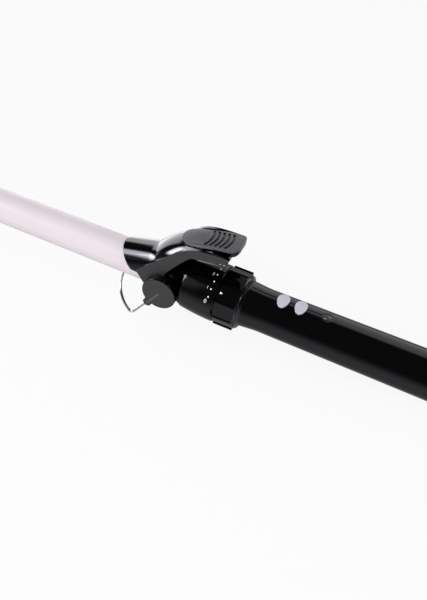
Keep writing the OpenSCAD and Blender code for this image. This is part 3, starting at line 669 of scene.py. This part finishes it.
# %% Lever
clip_bed_r = clip_out_r + SEAT
zone = [
    (collar_x0 - 3.5, collar_r + 4), (collar_x0 + 0.5 + collar_r - collar_edge, collar_edge),
    (collar_x1, collar_edge), (collar_x1 + 3.5, 6), (collar_x1 + 5.5, collar_r + 0.6),
    arm_bend + off(-7.1, -9.24), arm_bend + off(4.05, 0.8),
    (arm_tip.x - 1, LEVER_RISE - 3.8), (arm_tip.x - 1, LEVER_RISE + 9), (collar_x0, LEVER_RISE + 9),
]
hollow = shaped("INTERSECT", hood_bars(-LEVER_WALL),
                block((collar_x1, arm_tip.x - 3), (-arm_out, arm_out), (0, LEVER_RISE)))
fillet = shaped("INTERSECT", inclined(crease_crown, CREASE_SLOPE, collar_r + 0.8),
                block((crease_crown.x - 7, crease_crown.x + 6), (-20, 20), (-10, 30)))
hood = shaped("UNION", inclined(collar_crown, COLLAR_SLOPE, collar_r - 0.2), hood_bars(), fillet)
hood = shaped("INTERSECT", hood, plate(zone, -arm_out, arm_out))
hood = shaped("DIFFERENCE", hood,
              bar((collar_x0 - 5, 0, 0), (collar_x1 - 0.5, 0, 0), clip_bed_r),
              bar((collar_x1 - 0.5, 0, 0), (collar_x1 + 9, 0, 0), neck_r + 0.4), hollow)

mouth = [
    (collar_x0 - 2, collar_r + 2), (collar_x0 - 2, collar_edge - 2),
    (collar_x0 + collar_r, collar_edge - 2), (collar_x0, collar_r),
]
wide = 2 * collar_r
collar = bar((collar_x0, 0, 0), (collar_x1, 0, 0), collar_r, 160)
collar = shaped("DIFFERENCE", collar, bar((collar_x0 - 1, 0, 0), (collar_x1 + 1, 0, 0), clip_bed_r, 160),
                block((collar_x0 - 1, collar_x1 + 1), (-wide, wide), (-wide, collar_edge)),
                plate(mouth, -wide, wide))

arms = [plate(arm_outline, -arm_out, -arm_in), plate(arm_outline, arm_in, arm_out)]
lever = shaped("UNION", collar, hood, *arms)
lever = shaped("DIFFERENCE", lever,
               bar((0, -2 * arm_out, hinge_z), (0, 2 * arm_out, hinge_z), PIN_R + PLAY, 48),
               bar((collar_x0 - 5, 0, 0), (collar_x1 + SEAT, 0, 0), clip_bed_r, 160))
for face in simplified(lever, 0.01).faces:
    side = abs(face.calc_center_median().y)
    if abs(face.normal.y) > 0.95 and side > arm_out - 0.05:
        face.material_index = 1
mount("lever_body", lever, "clip_lever", gloss_black, ["lever"], edge=0.25, extra=[satin_black])

# %% [markdown]
# ## Thumb pad
# The pad lies over the hood like a saddle. Its front tapers to a tongue that drapes down the
# neck, and five bowed grooves behind the tongue keep the thumb from slipping. Each groove is
# cut by a bent tool whose floor follows the pad's own round top.

# %% Pad
pad_half = span("thumb_pad", "y")[1]
pad_tip, pad_end = span("thumb_pad")
front, shoulder = off(pad_tip, 0), off(pad_tip + 9.4, pad_half - 0.2)
corner, rear = off(pad_end - 5, pad_half), off(pad_end, pad_half - 6)
edge_line = [front]
edge_line += curve(front, off(pad_tip - 0.3, 5), off(pad_tip + 3, pad_half - 1), shoulder, 16)
edge_line += curve(shoulder, off(21, pad_half), off(27, pad_half), corner, 12)
edge_line += curve(corner, off(pad_end - 1, pad_half), off(pad_end, pad_half - 3), rear, 10)
pad_plan = [(x, y, 10) for x, y in edge_line] + [(x, -y, 10) for x, y in reversed(edge_line[1:])]

pad_crown, PAD_SLOPE, PAD_ROUND = off(14, LEVER_RISE), radians(10.3), 30
PAD_SKIN = 1.0
PAD_GROOVES, PAD_PITCH = 5, 2.78
GROOVE_DEPTH, GROOVE_W, GROOVE_BOW, GROOVE_REACH = 0.7, 1.4, 11.0, radians(36)
under = [
    (-20, -20), (-20, LEVER_RISE), (pad_tip - 2, LEVER_RISE - 4), arm_bend, arm_bend + off(6, 4.1),
    (22, LEVER_RISE - 1), (pad_end + 2, LEVER_RISE - 0.4), (pad_end + 2, -20),
]


def groove_tool(x):
    """A bowed cutter whose floor lies a groove's depth under the pad's round top."""
    turns = [GROOVE_REACH * i / 10 for i in range(-10, 11)]
    outer, inner = GROOVE_BOW + GROOVE_W / 2, GROOVE_BOW - GROOVE_W / 2
    points = [(x - GROOVE_BOW + outer * cos(a), outer * sin(a), 20) for a in turns]
    points += [(x - GROOVE_BOW + inner * cos(a), inner * sin(a), 20) for a in reversed(turns)]
    floor = inclined(pad_crown - off(0, GROOVE_DEPTH), PAD_SLOPE, PAD_ROUND - GROOVE_DEPTH)
    return shaped("DIFFERENCE", pulled(points, (0, 0, 30)), floor)


pad = shaped("INTERSECT", pulled(pad_plan, (0, 0, 45)), neck_tube(PAD_SKIN),
             inclined(pad_crown, PAD_SLOPE, PAD_ROUND))
grooves = [groove_tool(21.3 + PAD_PITCH * k) for k in range(PAD_GROOVES)]
pad = shaped("DIFFERENCE", pad, hood_bars(SEAT), plate(under, -30, 30), *grooves)
bmesh.ops.remove_doubles(pad, verts=pad.verts, dist=0.01)
pad_middle, pad_ahead = axis_of(pad_crown, PAD_SLOPE, PAD_ROUND)
# Faces sunk under the round top, in the grooves, take the chip's darker black (index 2): painted shade in the
# grooves.
for face in pad.faces:
    centre = face.calc_center_median()
    reach = (centre - pad_middle).cross(pad_ahead).length
    if face.normal.z < 0.35:
        face.material_index = 1
    elif reach < PAD_ROUND - 0.3 and centre.x > 18:
        face.material_index = 2
mount("pad", pad, "clip_lever", soft_pad, ["thumb_pad"],
      edge=0.3, limit=15, extra=[gloss_black, chip_black])

# %% [markdown]
# ## Rest: two caps and one bent wire
# The caps are turned discs with a rib that runs out to a small nub, where the wire enters. The
# wire is one ring of points, spun round each bend and pulled along each straight, as a bending
# machine would, and then mirrored.

# %% Rest caps
cap_in, cap_out = arm_out + 0.4, arm_out + 5.4
cap_r = span("stand_cap_near")[1]
LEG_SLOPE, LEG_LEN = radians(56), 29.5
WIRE_R, BEND_R = 0.8, 2
wire_y = cap_in + 3.6
socket_start = cap_r - 2.8
NUB_R, RIB_H, RIB_HALF = 2.5, 0.5, 0.6
nub_reach = cap_r + 1.1
leg_frame = at(0, hinge_z, -pi / 2 - LEG_SLOPE)


def legwise(shape):
    """Turns a shape drawn with its Z along the leg into the rest's place."""
    shape.transform(leg_frame)
    return shape


def rest_cap():
    """The far cap: a disc with its rib, its nub, and holes for the wire and the hinge pin."""
    disc = lathe([
        (cap_in, 0), (cap_in, cap_r - 0.4), (cap_in + 0.4, cap_r), (cap_out - 0.5, cap_r),
        (cap_out - 0.15, cap_r - 0.15), (cap_out, cap_r - 0.5), (cap_out, 0),
    ])
    disc.transform(Matrix.Translation((0, 0, hinge_z)) @ Matrix.Rotation(pi / 2, 4, "Z"))
    rib_top = cap_out + RIB_H
    rib_side = [
        (cap_out - 1, -0.5), (cap_out - 0.05, -0.5), (rib_top, 3), (rib_top, nub_reach),
        (cap_out - 1, nub_reach),
    ]
    rib = pulled([(-RIB_HALF, y, z) for y, z in rib_side], (2 * RIB_HALF, 0, 0))
    neck = block((-NUB_R, NUB_R), (cap_in + 1, cap_out - 0.6), (cap_r - 4, nub_reach))
    nub = bar((0, cap_in + 1, nub_reach), (0, cap_out + 0.1, nub_reach), NUB_R, 48)
    wire_hole = bar((0, wire_y, cap_r - 3), (0, wire_y, cap_r + 9), WIRE_R + SEAT, 32)
    pin_hole = bar((0, cap_in - 1, hinge_z), (0, cap_out - 1.6, hinge_z), PIN_R + PLAY, 48)
    cap = shaped("UNION", disc, legwise(rib), legwise(neck), legwise(nub))
    cap = simplified(shaped("DIFFERENCE", cap, legwise(wire_hole), pin_hole), 0.005)
    for face in cap.faces:
        heights = [vert.co.y for vert in face.verts]
        reach = max((vert.co - Vector((0, 0, hinge_z))).xz.length for vert in face.verts)
        # Rib faces take the lighter black: a painted highlight along the rib.
        if min(heights) > cap_out - 0.1 and max(heights) > cap_out + 0.15:
            face.material_index = 2
        elif face.normal.y > 0.95 or reach > cap_r + 0.1:
            face.material_index = 1
    return cap


for side in ("far", "near"):
    cap = rest_cap()
    if side == "near":
        bmesh.ops.scale(cap, vec=(1, -1, 1), verts=cap.verts)
        bmesh.ops.reverse_faces(cap, faces=cap.faces)
    mount("rest_cap_" + side, cap, "rest", gloss_black, ["stand_cap_" + side],
          edge=0.2, extra=[satin_black, worn_black])

# %% Rest wire
knee = off(0, hinge_z) - LEG_LEN * off(cos(LEG_SLOPE), sin(LEG_SLOPE))
bow_drop = -(barrel_r + 0.4 + WIRE_R) - knee.y
bow_len = max(wire_y + 4.6, 1.2 * bow_drop)
bow_slope = asin(bow_drop / bow_len)
turn_up = bow_slope + LEG_SLOPE
bend_cut = BEND_R * tan(turn_up / 2)
straight = bow_len - wire_y - bend_cut

around = Matrix.Translation((-wire_y, 0, 0)) @ Matrix.Rotation(pi / 2, 4, "X")
wire, ring = hoop(WIRE_R, 20, around)
ring = swing(wire, ring, (0, 0, 0), (0, 0, 1), -pi / 2, 40)
ring = pull(wire, ring, (straight, 0, 0))
ring = swing(wire, ring, (straight, wire_y, BEND_R), (0, 1, 0), -turn_up, 20)
leg_run = Vector((cos(turn_up), 0, sin(turn_up)))
pull(wire, ring, (LEG_LEN - bend_cut - socket_start) * leg_run)
bmesh.ops.mirror(wire, geom=wire.verts[:] + wire.edges[:] + wire.faces[:], axis="Y", merge_dist=1e-3)
fill_ends(tidy(wire))
bow_mid = knee + (bow_len - wire_y) * off(-cos(bow_slope), sin(bow_slope))
wire.transform(at(*bow_mid, bow_slope))
mount("rest_wire", wire, "rest", chrome_wire, ["stand_wire"], limit=60)

# %% [markdown]
# ## Nose
# The nose swells from the barrel's neck to the dial in one turned curve, with two flats for
# the hinge. It keeps its hollow inside, because the heater's leads pass through it.

# %% Nose
neck_front = barrel_x1 + 0.3
dial_x0, dial_x1 = span("dial_ring")
nose_len = dial_x0 - 0.3
handle_x0 = span("shell_near")[0]
spigot_x1 = span("nose_body")[1]
nose_r = span("nose_body", "y")[1]
nose_front_r = nose_r - 1.4
POCKET_X = 11.4
BEARING_R, SPIGOT_R = 13.0, 11.0
HOLLOW_R, LEAD_BORE_R = 9.3, 5.5
LIP = 0.22

outline = [(neck_front, LEAD_BORE_R), (neck_front, neck_r - 0.5), (neck_front + 0.5, neck_r), (1.5, neck_r)]
belly_end = off(POCKET_X + 1, nose_front_r)
outline += curve(off(1.5, neck_r), off(6, neck_r), off(8, nose_front_r - 0.8), belly_end, 20)
skin = curve(belly_end, off(POCKET_X + 7, nose_front_r + 0.7), off(nose_len - 9, nose_r - 0.1),
             off(nose_len - 0.6, nose_r), 20)
outline += skin
outline += [
    (nose_len - 0.18, nose_r - 0.12), (nose_len, nose_r - 0.4), (nose_len + LIP, nose_r - 0.6),
    (nose_len + LIP, nose_r - 1.4), (nose_len - 2.2, nose_r - 1.4),
    (nose_len - 2.2, BEARING_R - PLAY), (handle_x0, BEARING_R - PLAY), (handle_x0, SPIGOT_R - SEAT),
    (spigot_x1, SPIGOT_R - SEAT), (spigot_x1, HOLLOW_R), (nose_len + 11, HOLLOW_R),
    (POCKET_X + 3, HOLLOW_R), (POCKET_X + 3, LEAD_BORE_R),
]
nose = lathe(outline, 160, closed=True)
far = 2 * nose_r
for side in (-1, 1):
    limits = sorted((side * barrel_r, side * far))
    nose = shaped("DIFFERENCE", nose, block((neck_front - 1, POCKET_X), limits, (-far, far)))
nose = shaped("DIFFERENCE", nose, bar((0, -far, hinge_z), (0, far, hinge_z), PIN_R + SEAT, 48))
mount("nose", nose, "handle", gloss_black, ["nose_body"], edge=0.2, limit=35)

# %% [markdown]
# ## Dial
# The dial is a ring with ten flats and a raised rib at every corner, so that wet fingers can
# turn it. A prism overlapped with a turned profile gives the flats their rounded ends.

# %% Dial ring
RIBS, RIB_SIDE = 10, 0.55
POINTER_DEG = 45
FLAT_R = 15.9
vertex_r = FLAT_R / cos(pi / RIBS)

prism = bar((dial_x0, 0, 0), (dial_x1, 0, 0), vertex_r, RIBS)
first = max(prism.verts, key=lambda v: v.co.z).co
start = Vector((first.y, first.z)).angle_signed(Vector((1, 0)))
prism.transform(Matrix.Rotation(pi / RIBS + pi / 2 - start, 4, "X"))
prism.transform(Matrix.Rotation(radians(POINTER_DEG), 4, "X"))
rounding = lathe([
    (dial_x0, 0), (dial_x0, FLAT_R - 0.3), (dial_x0 + 0.5, FLAT_R + 0.25), (dial_x0 + 1.5, vertex_r + 0.3),
    (dial_x1 - 1.5, vertex_r + 0.3), (dial_x1 - 0.5, FLAT_R + 0.25), (dial_x1, FLAT_R - 0.3), (dial_x1, 0),
], 120)
dial = shaped("INTERSECT", prism, rounding)
for k in range(RIBS):
    rib = block((dial_x0 + 0.6, dial_x1 - 0.6), (-RIB_SIDE, RIB_SIDE), (FLAT_R - 1, vertex_r + 0.5))
    rib.transform(Matrix.Rotation(radians(POINTER_DEG + (k + 0.5) * 360 / RIBS), 4, "X"))
    dial = shaped("UNION", dial, rib)
dial = shaped("DIFFERENCE", dial, bar((dial_x0 - 1, 0, 0), (dial_x1 + 1, 0, 0), BEARING_R, 128))
mount("dial", dial, "dial", gloss_black, ["dial_ring"], edge=0.25)

# %% [markdown]
# ## Printed scale
# The scale is printed on the nose and a pointer on the dial. Ink on plastic has a thickness of
# a few hundredths of a millimetre, so each mark is a thin raised shape. The numbers are made
# from a text object that is turned into a mesh. The white ink also glows faintly, a painted glow
# that keeps the marks bright where the hood shades them.


# %% Marks round the axis
INK_T = 0.06


def on_round(shape, x, radius, angle):
    """Lays a shape drawn flat (X along the axis, Y round it) on a round surface."""
    shape.transform(Matrix.Rotation(radians(angle), 4, "X") @ Matrix.Translation((x, 0, radius)))
    return shape


def joined(shapes):
    """Several shapes in one."""
    whole = bmesh.new()
    for shape in shapes:
        mesh = meshed("joining", shape)
        whole.from_mesh(mesh)
        bpy.data.meshes.remove(mesh)
    return whole


def nose_radius(x):
    """The nose's radius at x, from its outline."""
    (x0, r0), (x1, r1) = sorted(skin, key=lambda point: abs(point.x - x))[:2]
    return r0 + (r1 - r0) * (x - x0) / (x1 - x0)


def number(text, size):
    """A raised number, centred on its place."""
    letters = bpy.data.curves.new("number", "FONT")
    letters.body = text
    letters.size = size
    letters.extrude = INK_T / 2
    letters.align_x = "CENTER"
    letters.align_y = "CENTER"
    letters.resolution_u = 3
    holder = placed("number", letters)
    bpy.context.view_layer.update()
    mesh = bpy.data.meshes.new_from_object(holder.evaluated_get(bpy.context.evaluated_depsgraph_get()))
    bpy.data.objects.remove(holder)
    bpy.data.curves.remove(letters)
    shape = bmesh.new()
    shape.from_mesh(mesh)
    bpy.data.meshes.remove(mesh)
    return tidy(shape)


DOTS, DOT_X, DOT_R = 6, 28.2, 0.45
FIRST_DEG, STEP_DEG = 60.5, -15.5
angles = [FIRST_DEG + STEP_DEG * k for k in range(DOTS)]
dots = []
for angle in angles:
    dot = bar((0, 0, -INK_T), (0, 0, INK_T / 2), DOT_R, 20)
    dots.append(on_round(dot, DOT_X, nose_radius(DOT_X), angle))
mount("scale_dots", joined(dots), "handle", white_ink)

# The number of each dot, its size, its step back from the dot and its turn
NUMBERS = ((0, 3.3, 1.0, 10), (1, 2.4, 2.1, -1), (3, 2.4, 2.1, 1), (5, 2.4, 2.1, 1))
numbers = []
for k, size, back, turned in NUMBERS:
    number_x = DOT_X - back
    numbers.append(on_round(number(str(k), size), number_x, nose_radius(number_x), angles[k] + turned))
mount("scale_numbers", joined(numbers), "handle", white_ink)

pointer = pulled([(-0.9, -0.75, -0.05), (-0.9, 0.75, -0.05), (0.75, 0, -0.05)], (0, 0, 0.09))
mount("dial_pointer", on_round(pointer, dial_x0 + 2.6, FLAT_R, POINTER_DEG), "dial", white_ink)

# %% [markdown]
# ## Handle
# The handle is two shells that meet along the top and bottom. Each is one half of the same
# hollow turned body, pierced for the buttons and the window and grooved along the top.

# %% Handle sizes
handle_x1 = span("shell_near")[1]
HANDLE_R, HANDLE_END_R, END_ROUND = 12.4, 13.2, 7
SHELL_T, SEAM = 1.8, 0.02
flange_x = handle_x1 - 9
stub_r, swivel_bore_r = 5.0, 6.05
button_x = {node: sum(span(node)) / 2 for node in ("button_front", "button_rear")}
window_x = sum(span("indicator_window")) / 2
BUTTON_X, BUTTON_Y, WINDOW_R = 3.35, 5.1, 3.25
screw_x, SCREW_Z = [handle_x0 + 40, handle_x0 + 96], -6
SCREW_R, SCREW_HEAD_R, SCREW_HEAD_Y = 1.4, 2.65, 7.6
mouth_r = FLAT_R - 0.6

handle_line = [(handle_x0, SPIGOT_R), (handle_x0, mouth_r), (handle_x0 + 0.5, mouth_r + 0.1)]
throat = off(handle_x0 + 2.4, HANDLE_R + 0.7)
handle_line += curve(off(handle_x0 + 0.5, mouth_r + 0.1), off(handle_x0 + 1.6, mouth_r - 1.4),
                     off(handle_x0 + 1.7, HANDLE_R + 0.9), throat, 12)
handle_line += curve(throat, off(handle_x0 + 7, HANDLE_R + 0.5), off(handle_x0 + 9, HANDLE_R),
                     off(handle_x0 + 14, HANDLE_R), 12)
handle_line += arc((handle_x1 - END_ROUND, HANDLE_END_R - END_ROUND), END_ROUND, 90, 0, 16)
handle_line += [
    (handle_x1, swivel_bore_r), (flange_x + 1, swivel_bore_r), (flange_x + 1, stub_r),
    (flange_x - 3, stub_r), (flange_x - 3, HANDLE_END_R - SHELL_T),
    (spigot_x1 - 0.1, HANDLE_R - SHELL_T), (spigot_x1 - 0.1, SPIGOT_R),
]


def oval(x, z0, z1, play=0.0):
    """An upright plug with the outline of a button, widened by a play."""
    shape = bar((0, 0, z0), (0, 0, z1), 1, 72)
    bmesh.ops.scale(shape, vec=(BUTTON_X + play, BUTTON_Y + play, 1), verts=shape.verts)
    bmesh.ops.translate(shape, vec=(x, 0, 0), verts=shape.verts)
    return shape


def handle_half(side):
    """One shell: the near one has side -1, the far one 1."""
    half = block((handle_x0 - 1, handle_x1 + 1), sorted((side * SEAM / 2, side * 40)), (-40, 40))
    body = shaped("INTERSECT", lathe(handle_line, 192, closed=True), half)
    tools = [oval(x, 0, 40, 0.15) for x in button_x.values()]
    tools.append(bar((window_x, 0, 0), (window_x, 0, 40), WINDOW_R + PLAY, 64))
    tools.append(block((handle_x0 + 3, window_x), (-0.35, 0.35), (HANDLE_R - 0.5, 40)))
    if side > 0:
        tools += [bar((x, 0, SCREW_Z), (x, 40, SCREW_Z), SCREW_R, 32) for x in screw_x]
        tools += [bar((x, SCREW_HEAD_Y, SCREW_Z), (x, 40, SCREW_Z), SCREW_HEAD_R, 48) for x in screw_x]
    return shaped("DIFFERENCE", body, *tools)


mount("handle_near", handle_half(-1), "handle", gloss_black, ["shell_near"], edge=0.12, limit=40)
mount("handle_far", handle_half(1), "handle", gloss_black, ["shell_far"], edge=0.12, limit=40)

# %% [markdown]
# ## Buttons and window
# The two buttons follow the handle's roundness and stand a little proud of it. The window is a
# smoked lens with a fine rim, and two short grey strokes on it are painted glints.


# %% Buttons
def following(plug, proud):
    """Cuts a plug's top to the handle's roundness, a little proud of it."""
    return shaped("INTERSECT", plug, bar((handle_x0, 0, 0), (handle_x1, 0, 0), HANDLE_R + proud, 192))


for name, node in (("front_button", "button_front"), ("rear_button", "button_rear")):
    low = span(node, "z")[0]
    button = following(oval(button_x[node], low + 0.4, 20), 0.7)
    button = shaped("UNION", button, oval(button_x[node], low, low + 0.6, 0.8))
    mount(name, button, name, pearl_button, [node], edge=0.4)

# %% Window
lens = bar((window_x, 0, span("indicator_window", "z")[0]), (window_x, 0, 20), WINDOW_R - 0.3, 64)
mount("window_lens", following(lens, -0.1), "handle", smoked_lens, ["indicator_window"], edge=0.15)
rim = following(bar((window_x, 0, HANDLE_R - 2), (window_x, 0, 20), WINDOW_R, 64), 0.12)
rim = shaped("DIFFERENCE", rim, bar((window_x, 0, 0), (window_x, 0, 20), WINDOW_R - 0.35, 64))
mount("window_rim", rim, "handle", satin_black, edge=0.1)
# Two short grey strokes on the lens: painted glints.
painted_glints = shaped("UNION", block((window_x - 1.6, window_x - 0.4), (-1.7, -1.1), (10, 20)),
               block((window_x + 0.3, window_x + 1.7), (0.5, 1.0), (10, 20)))
mount("window_marks", following(painted_glints, -0.06), "handle", faint_ink)

# %% [markdown]
# ## Swivel
# The cord's swivel turns in the end of the handle on a flange. Only its neck shows, which
# narrows to the bore where a cord would enter.

# %% Swivel
swivel_x0, swivel_x1 = span("cord_swivel")
CORD_BORE_R, STUB_R, FLANGE_R, NECK_R, MOUTH_R = 3.4, 3.38, 8, 6, 5.4
flange_x1, lip_x = flange_x + 2.2, handle_x1 + 0.3
lip_r = HANDLE_END_R - 6.4
outline = [
    (swivel_x0, 0), (swivel_x0, STUB_R), (flange_x, STUB_R), (flange_x, FLANGE_R), (flange_x1, FLANGE_R),
    (flange_x1, NECK_R), (lip_x, NECK_R), (lip_x, lip_r),
]
outline += curve(off(lip_x, lip_r), off(handle_x1 + 5, lip_r), off(handle_x1 + 6, MOUTH_R),
                 off(swivel_x1 - 0.8, MOUTH_R), 16)
outline += [
    (swivel_x1 - 0.25, 5.2), (swivel_x1, 4.8), (swivel_x1, CORD_BORE_R + 0.3), (swivel_x1 - 0.3, CORD_BORE_R),
    (flange_x1, CORD_BORE_R), (flange_x1, 0),
]
mount("swivel", lathe(outline), "swivel", satin_black, ["cord_swivel"], edge=0.12)

# %% [markdown]
# ## Parts that keep their frame shape
# Heater, springs, pins, board and contacts are simple real shapes already. They keep the
# frame's mesh and only get their material.

# %% Finishes for the kept nodes
kept = {
    ceramic: ["tip_insulator", "thermistor"],
    aluminium: ["heater_carrier_upper", "heater_carrier_lower"],
    fuse_ceramic: ["heater_bar", "fuse"],
    film: ["heater_film"],
    steel: ["carrier_springs", "thermal_cutout", "clip_rivets", "lever_springs", "hinge_pins", "dial_washer",
            "dial_stop", "shell_screws", "board_screws", "tact_switches"],
    sleeve_white: ["heater_leads", "mains_leads"],
    mica: ["heat_sleeve", "mica_washer"],
    brass: ["dial_contact", "brush_contacts", "slip_rings"],
    circuit_board: ["dial_track", "main_board"],
    chip_black: ["triac", "controller"],
    capacitor_case: ["capacitor"],
    led_clear: ["indicator_led"],
}
for finish, nodes in kept.items():
    for node in nodes:
        slots = frame["nodes"][node].data.materials
        slots.clear()
        slots.append(finish.material)
        print(node, "->", finish.material.name)

# %% [markdown]
# ## Floor and light
# The floor is white, and tilted so that the rest's wire and the rear of the handle stand on it.
# Black gloss is lit by what it mirrors: a pale floor gives grey edges, a dark room above keeps
# the rest deep black, and soft panels draw the bright streaks.

# %% View and floor
bpy.context.scene.view_settings.view_transform = "Standard"
FLOOR_HALF, FLOOR_GLOW = 2500, 0.9
foot_z = span("stand_wire", "z")[0]
rear_x = handle_x1 - 11
tilt = asin((PLAY - HANDLE_END_R - foot_z) / (rear_x - knee.x))
floor_shape = bmesh.new()
bmesh.ops.create_grid(floor_shape, x_segments=1, y_segments=1, size=FLOOR_HALF)
floor_shape.transform(to_row @ at(knee.x, foot_z - SEAT, -tilt))
floor = placed("floor", meshed("floor", floor_shape))
floor.visible_glossy = False

cloth = Finish("floor", (0.9, 0.9, 0.9), 1, Specular_IOR_Level=0)
seen = cloth.node("ShaderNodeLightPath", output="Is Camera Ray")
glow = cloth.node("ShaderNodeEmission")
matt = Value(cloth, cloth.surface.outputs[0])
blend = cloth.node("ShaderNodeMixShader", None, {0: seen * FLOOR_GLOW, 1: matt, 2: glow})
cloth.feed(cloth.tree.nodes["Material Output"].inputs["Surface"], blend)
floor.data.materials.append(cloth.material)

# %% [markdown]
# The room is one world shader. The camera sees white, matt surfaces are lit by an even grey,
# and only mirrored rays see the studio: a floor whose tone changes with the height of the ray,
# a broad glow over the far side, and five panels. Each panel has its azimuth, elevation, half
# width and half height in degrees, then its strength and the softness of its edge.

# %% Room
world = bpy.data.worlds.new("studio")
bpy.context.scene.world = world
world.use_nodes = True
sky = Graph(world.node_tree)
sky.tree.nodes.clear()
way = sky.node("ShaderNodeTexCoord", output="Generated")


def along(direction):
    """How far the ray runs along a direction."""
    inputs = {0: way, 1: direction}
    return sky.node("ShaderNodeVectorMath", {"operation": "DOT_PRODUCT"}, inputs, output="Value")


def panel(azimuth, elevation, half_wide, half_high, strength, soft):
    """A soft-edged panel of the studio. Azimuth 0 lies towards the cord, 90 behind the iron."""
    a, e = radians(azimuth), radians(elevation)
    ahead = Vector((cos(a) * cos(e), sin(a) * cos(e), sin(e)))
    side = Vector((-sin(a), cos(a), 0))
    mask = along(ahead) > 0
    for axis, half in ((side, half_wide), (ahead.cross(side), half_high)):
        mask = mask * abs(along(axis)).step(sin(radians(half + soft)), sin(radians(half - soft)))
    return mask * strength


FLOOR_TONES = [
    (0.0, 0.32), (0.085, 0.45), (0.18, 0.58), (0.3, 0.5), (0.36, 0.38), (0.43, 0.2), (0.5, 0.1), (0.58, 0.05),
    (1.0, 0.05),
]
PANELS = [
    (142, 2, 30, 27, 2.4, 4), (153, 2, 20, 26, 1.4, 6), (-155, 18, 8, 12, 14, 4), (-151, 26, 10, 19, 10, 5),
    (-127, 28, 8, 18, 0.4, 6),
]
x, y, z = along((1, 0, 0)), along((0, 1, 0)), along((0, 0, 1))
ramp = sky.tree.nodes.new("ShaderNodeValToRGB")
stops = ramp.color_ramp.elements
for position, tone in FLOOR_TONES:
    stop = stops[0] if position == 0 else stops[-1] if position == 1 else stops.new(position)
    stop.color = (tone, tone, tone, 1)
sky.feed(ramp.inputs["Fac"], z * 0.5 + 0.5)
far_glow = x.step(-0.4, -0.1) * y.step(0.38, 0.6) * z.step(-0.1, 0.1)
studio = Value(sky, ramp.outputs[0]) + far_glow
for row in PANELS:
    studio = studio + panel(*row)

tones = (studio, (0.53, 0.53, 0.545, 1), (1, 1, 1, 1))
mirrored, plain, white = (sky.node("ShaderNodeBackground", None, {"Color": tone}) for tone in tones)
glossy = sky.node("ShaderNodeLightPath", output="Is Glossy Ray")
camera_ray = sky.node("ShaderNodeLightPath", output="Is Camera Ray")
room = sky.node("ShaderNodeMixShader", None, {0: glossy, 1: plain, 2: mirrored})
room = sky.node("ShaderNodeMixShader", None, {0: camera_ray, 1: room, 2: white})
sky.feed(sky.tree.nodes.new("ShaderNodeOutputWorld").inputs["Surface"], room)


# %% Lamps
def soft_box(name, eye, towards, width, height, strength):
    """A lamp in working millimetres that faces a point and lights matt surfaces."""
    lamp = bpy.data.lights.new(name, "AREA")
    lamp.shape = "RECTANGLE"
    lamp.size, lamp.size_y = width * MM, height * MM
    lamp.energy = strength * pi * lamp.size * lamp.size_y
    made = placed(name, lamp)
    eye, towards = Vector(eye), Vector(towards)
    aim = (eye - towards).to_track_quat("Z", "Y").to_matrix().to_4x4()
    made.matrix_world = Matrix.Translation(to_row @ eye) @ aim
    made.visible_glossy = False


soft_box("overhead", (-100, -150, 600), (0, 0, 0), 400, 300, 1.35)
soft_box("front", (-60, -560, 300), (0, 0, 10), 400, 300, 4)
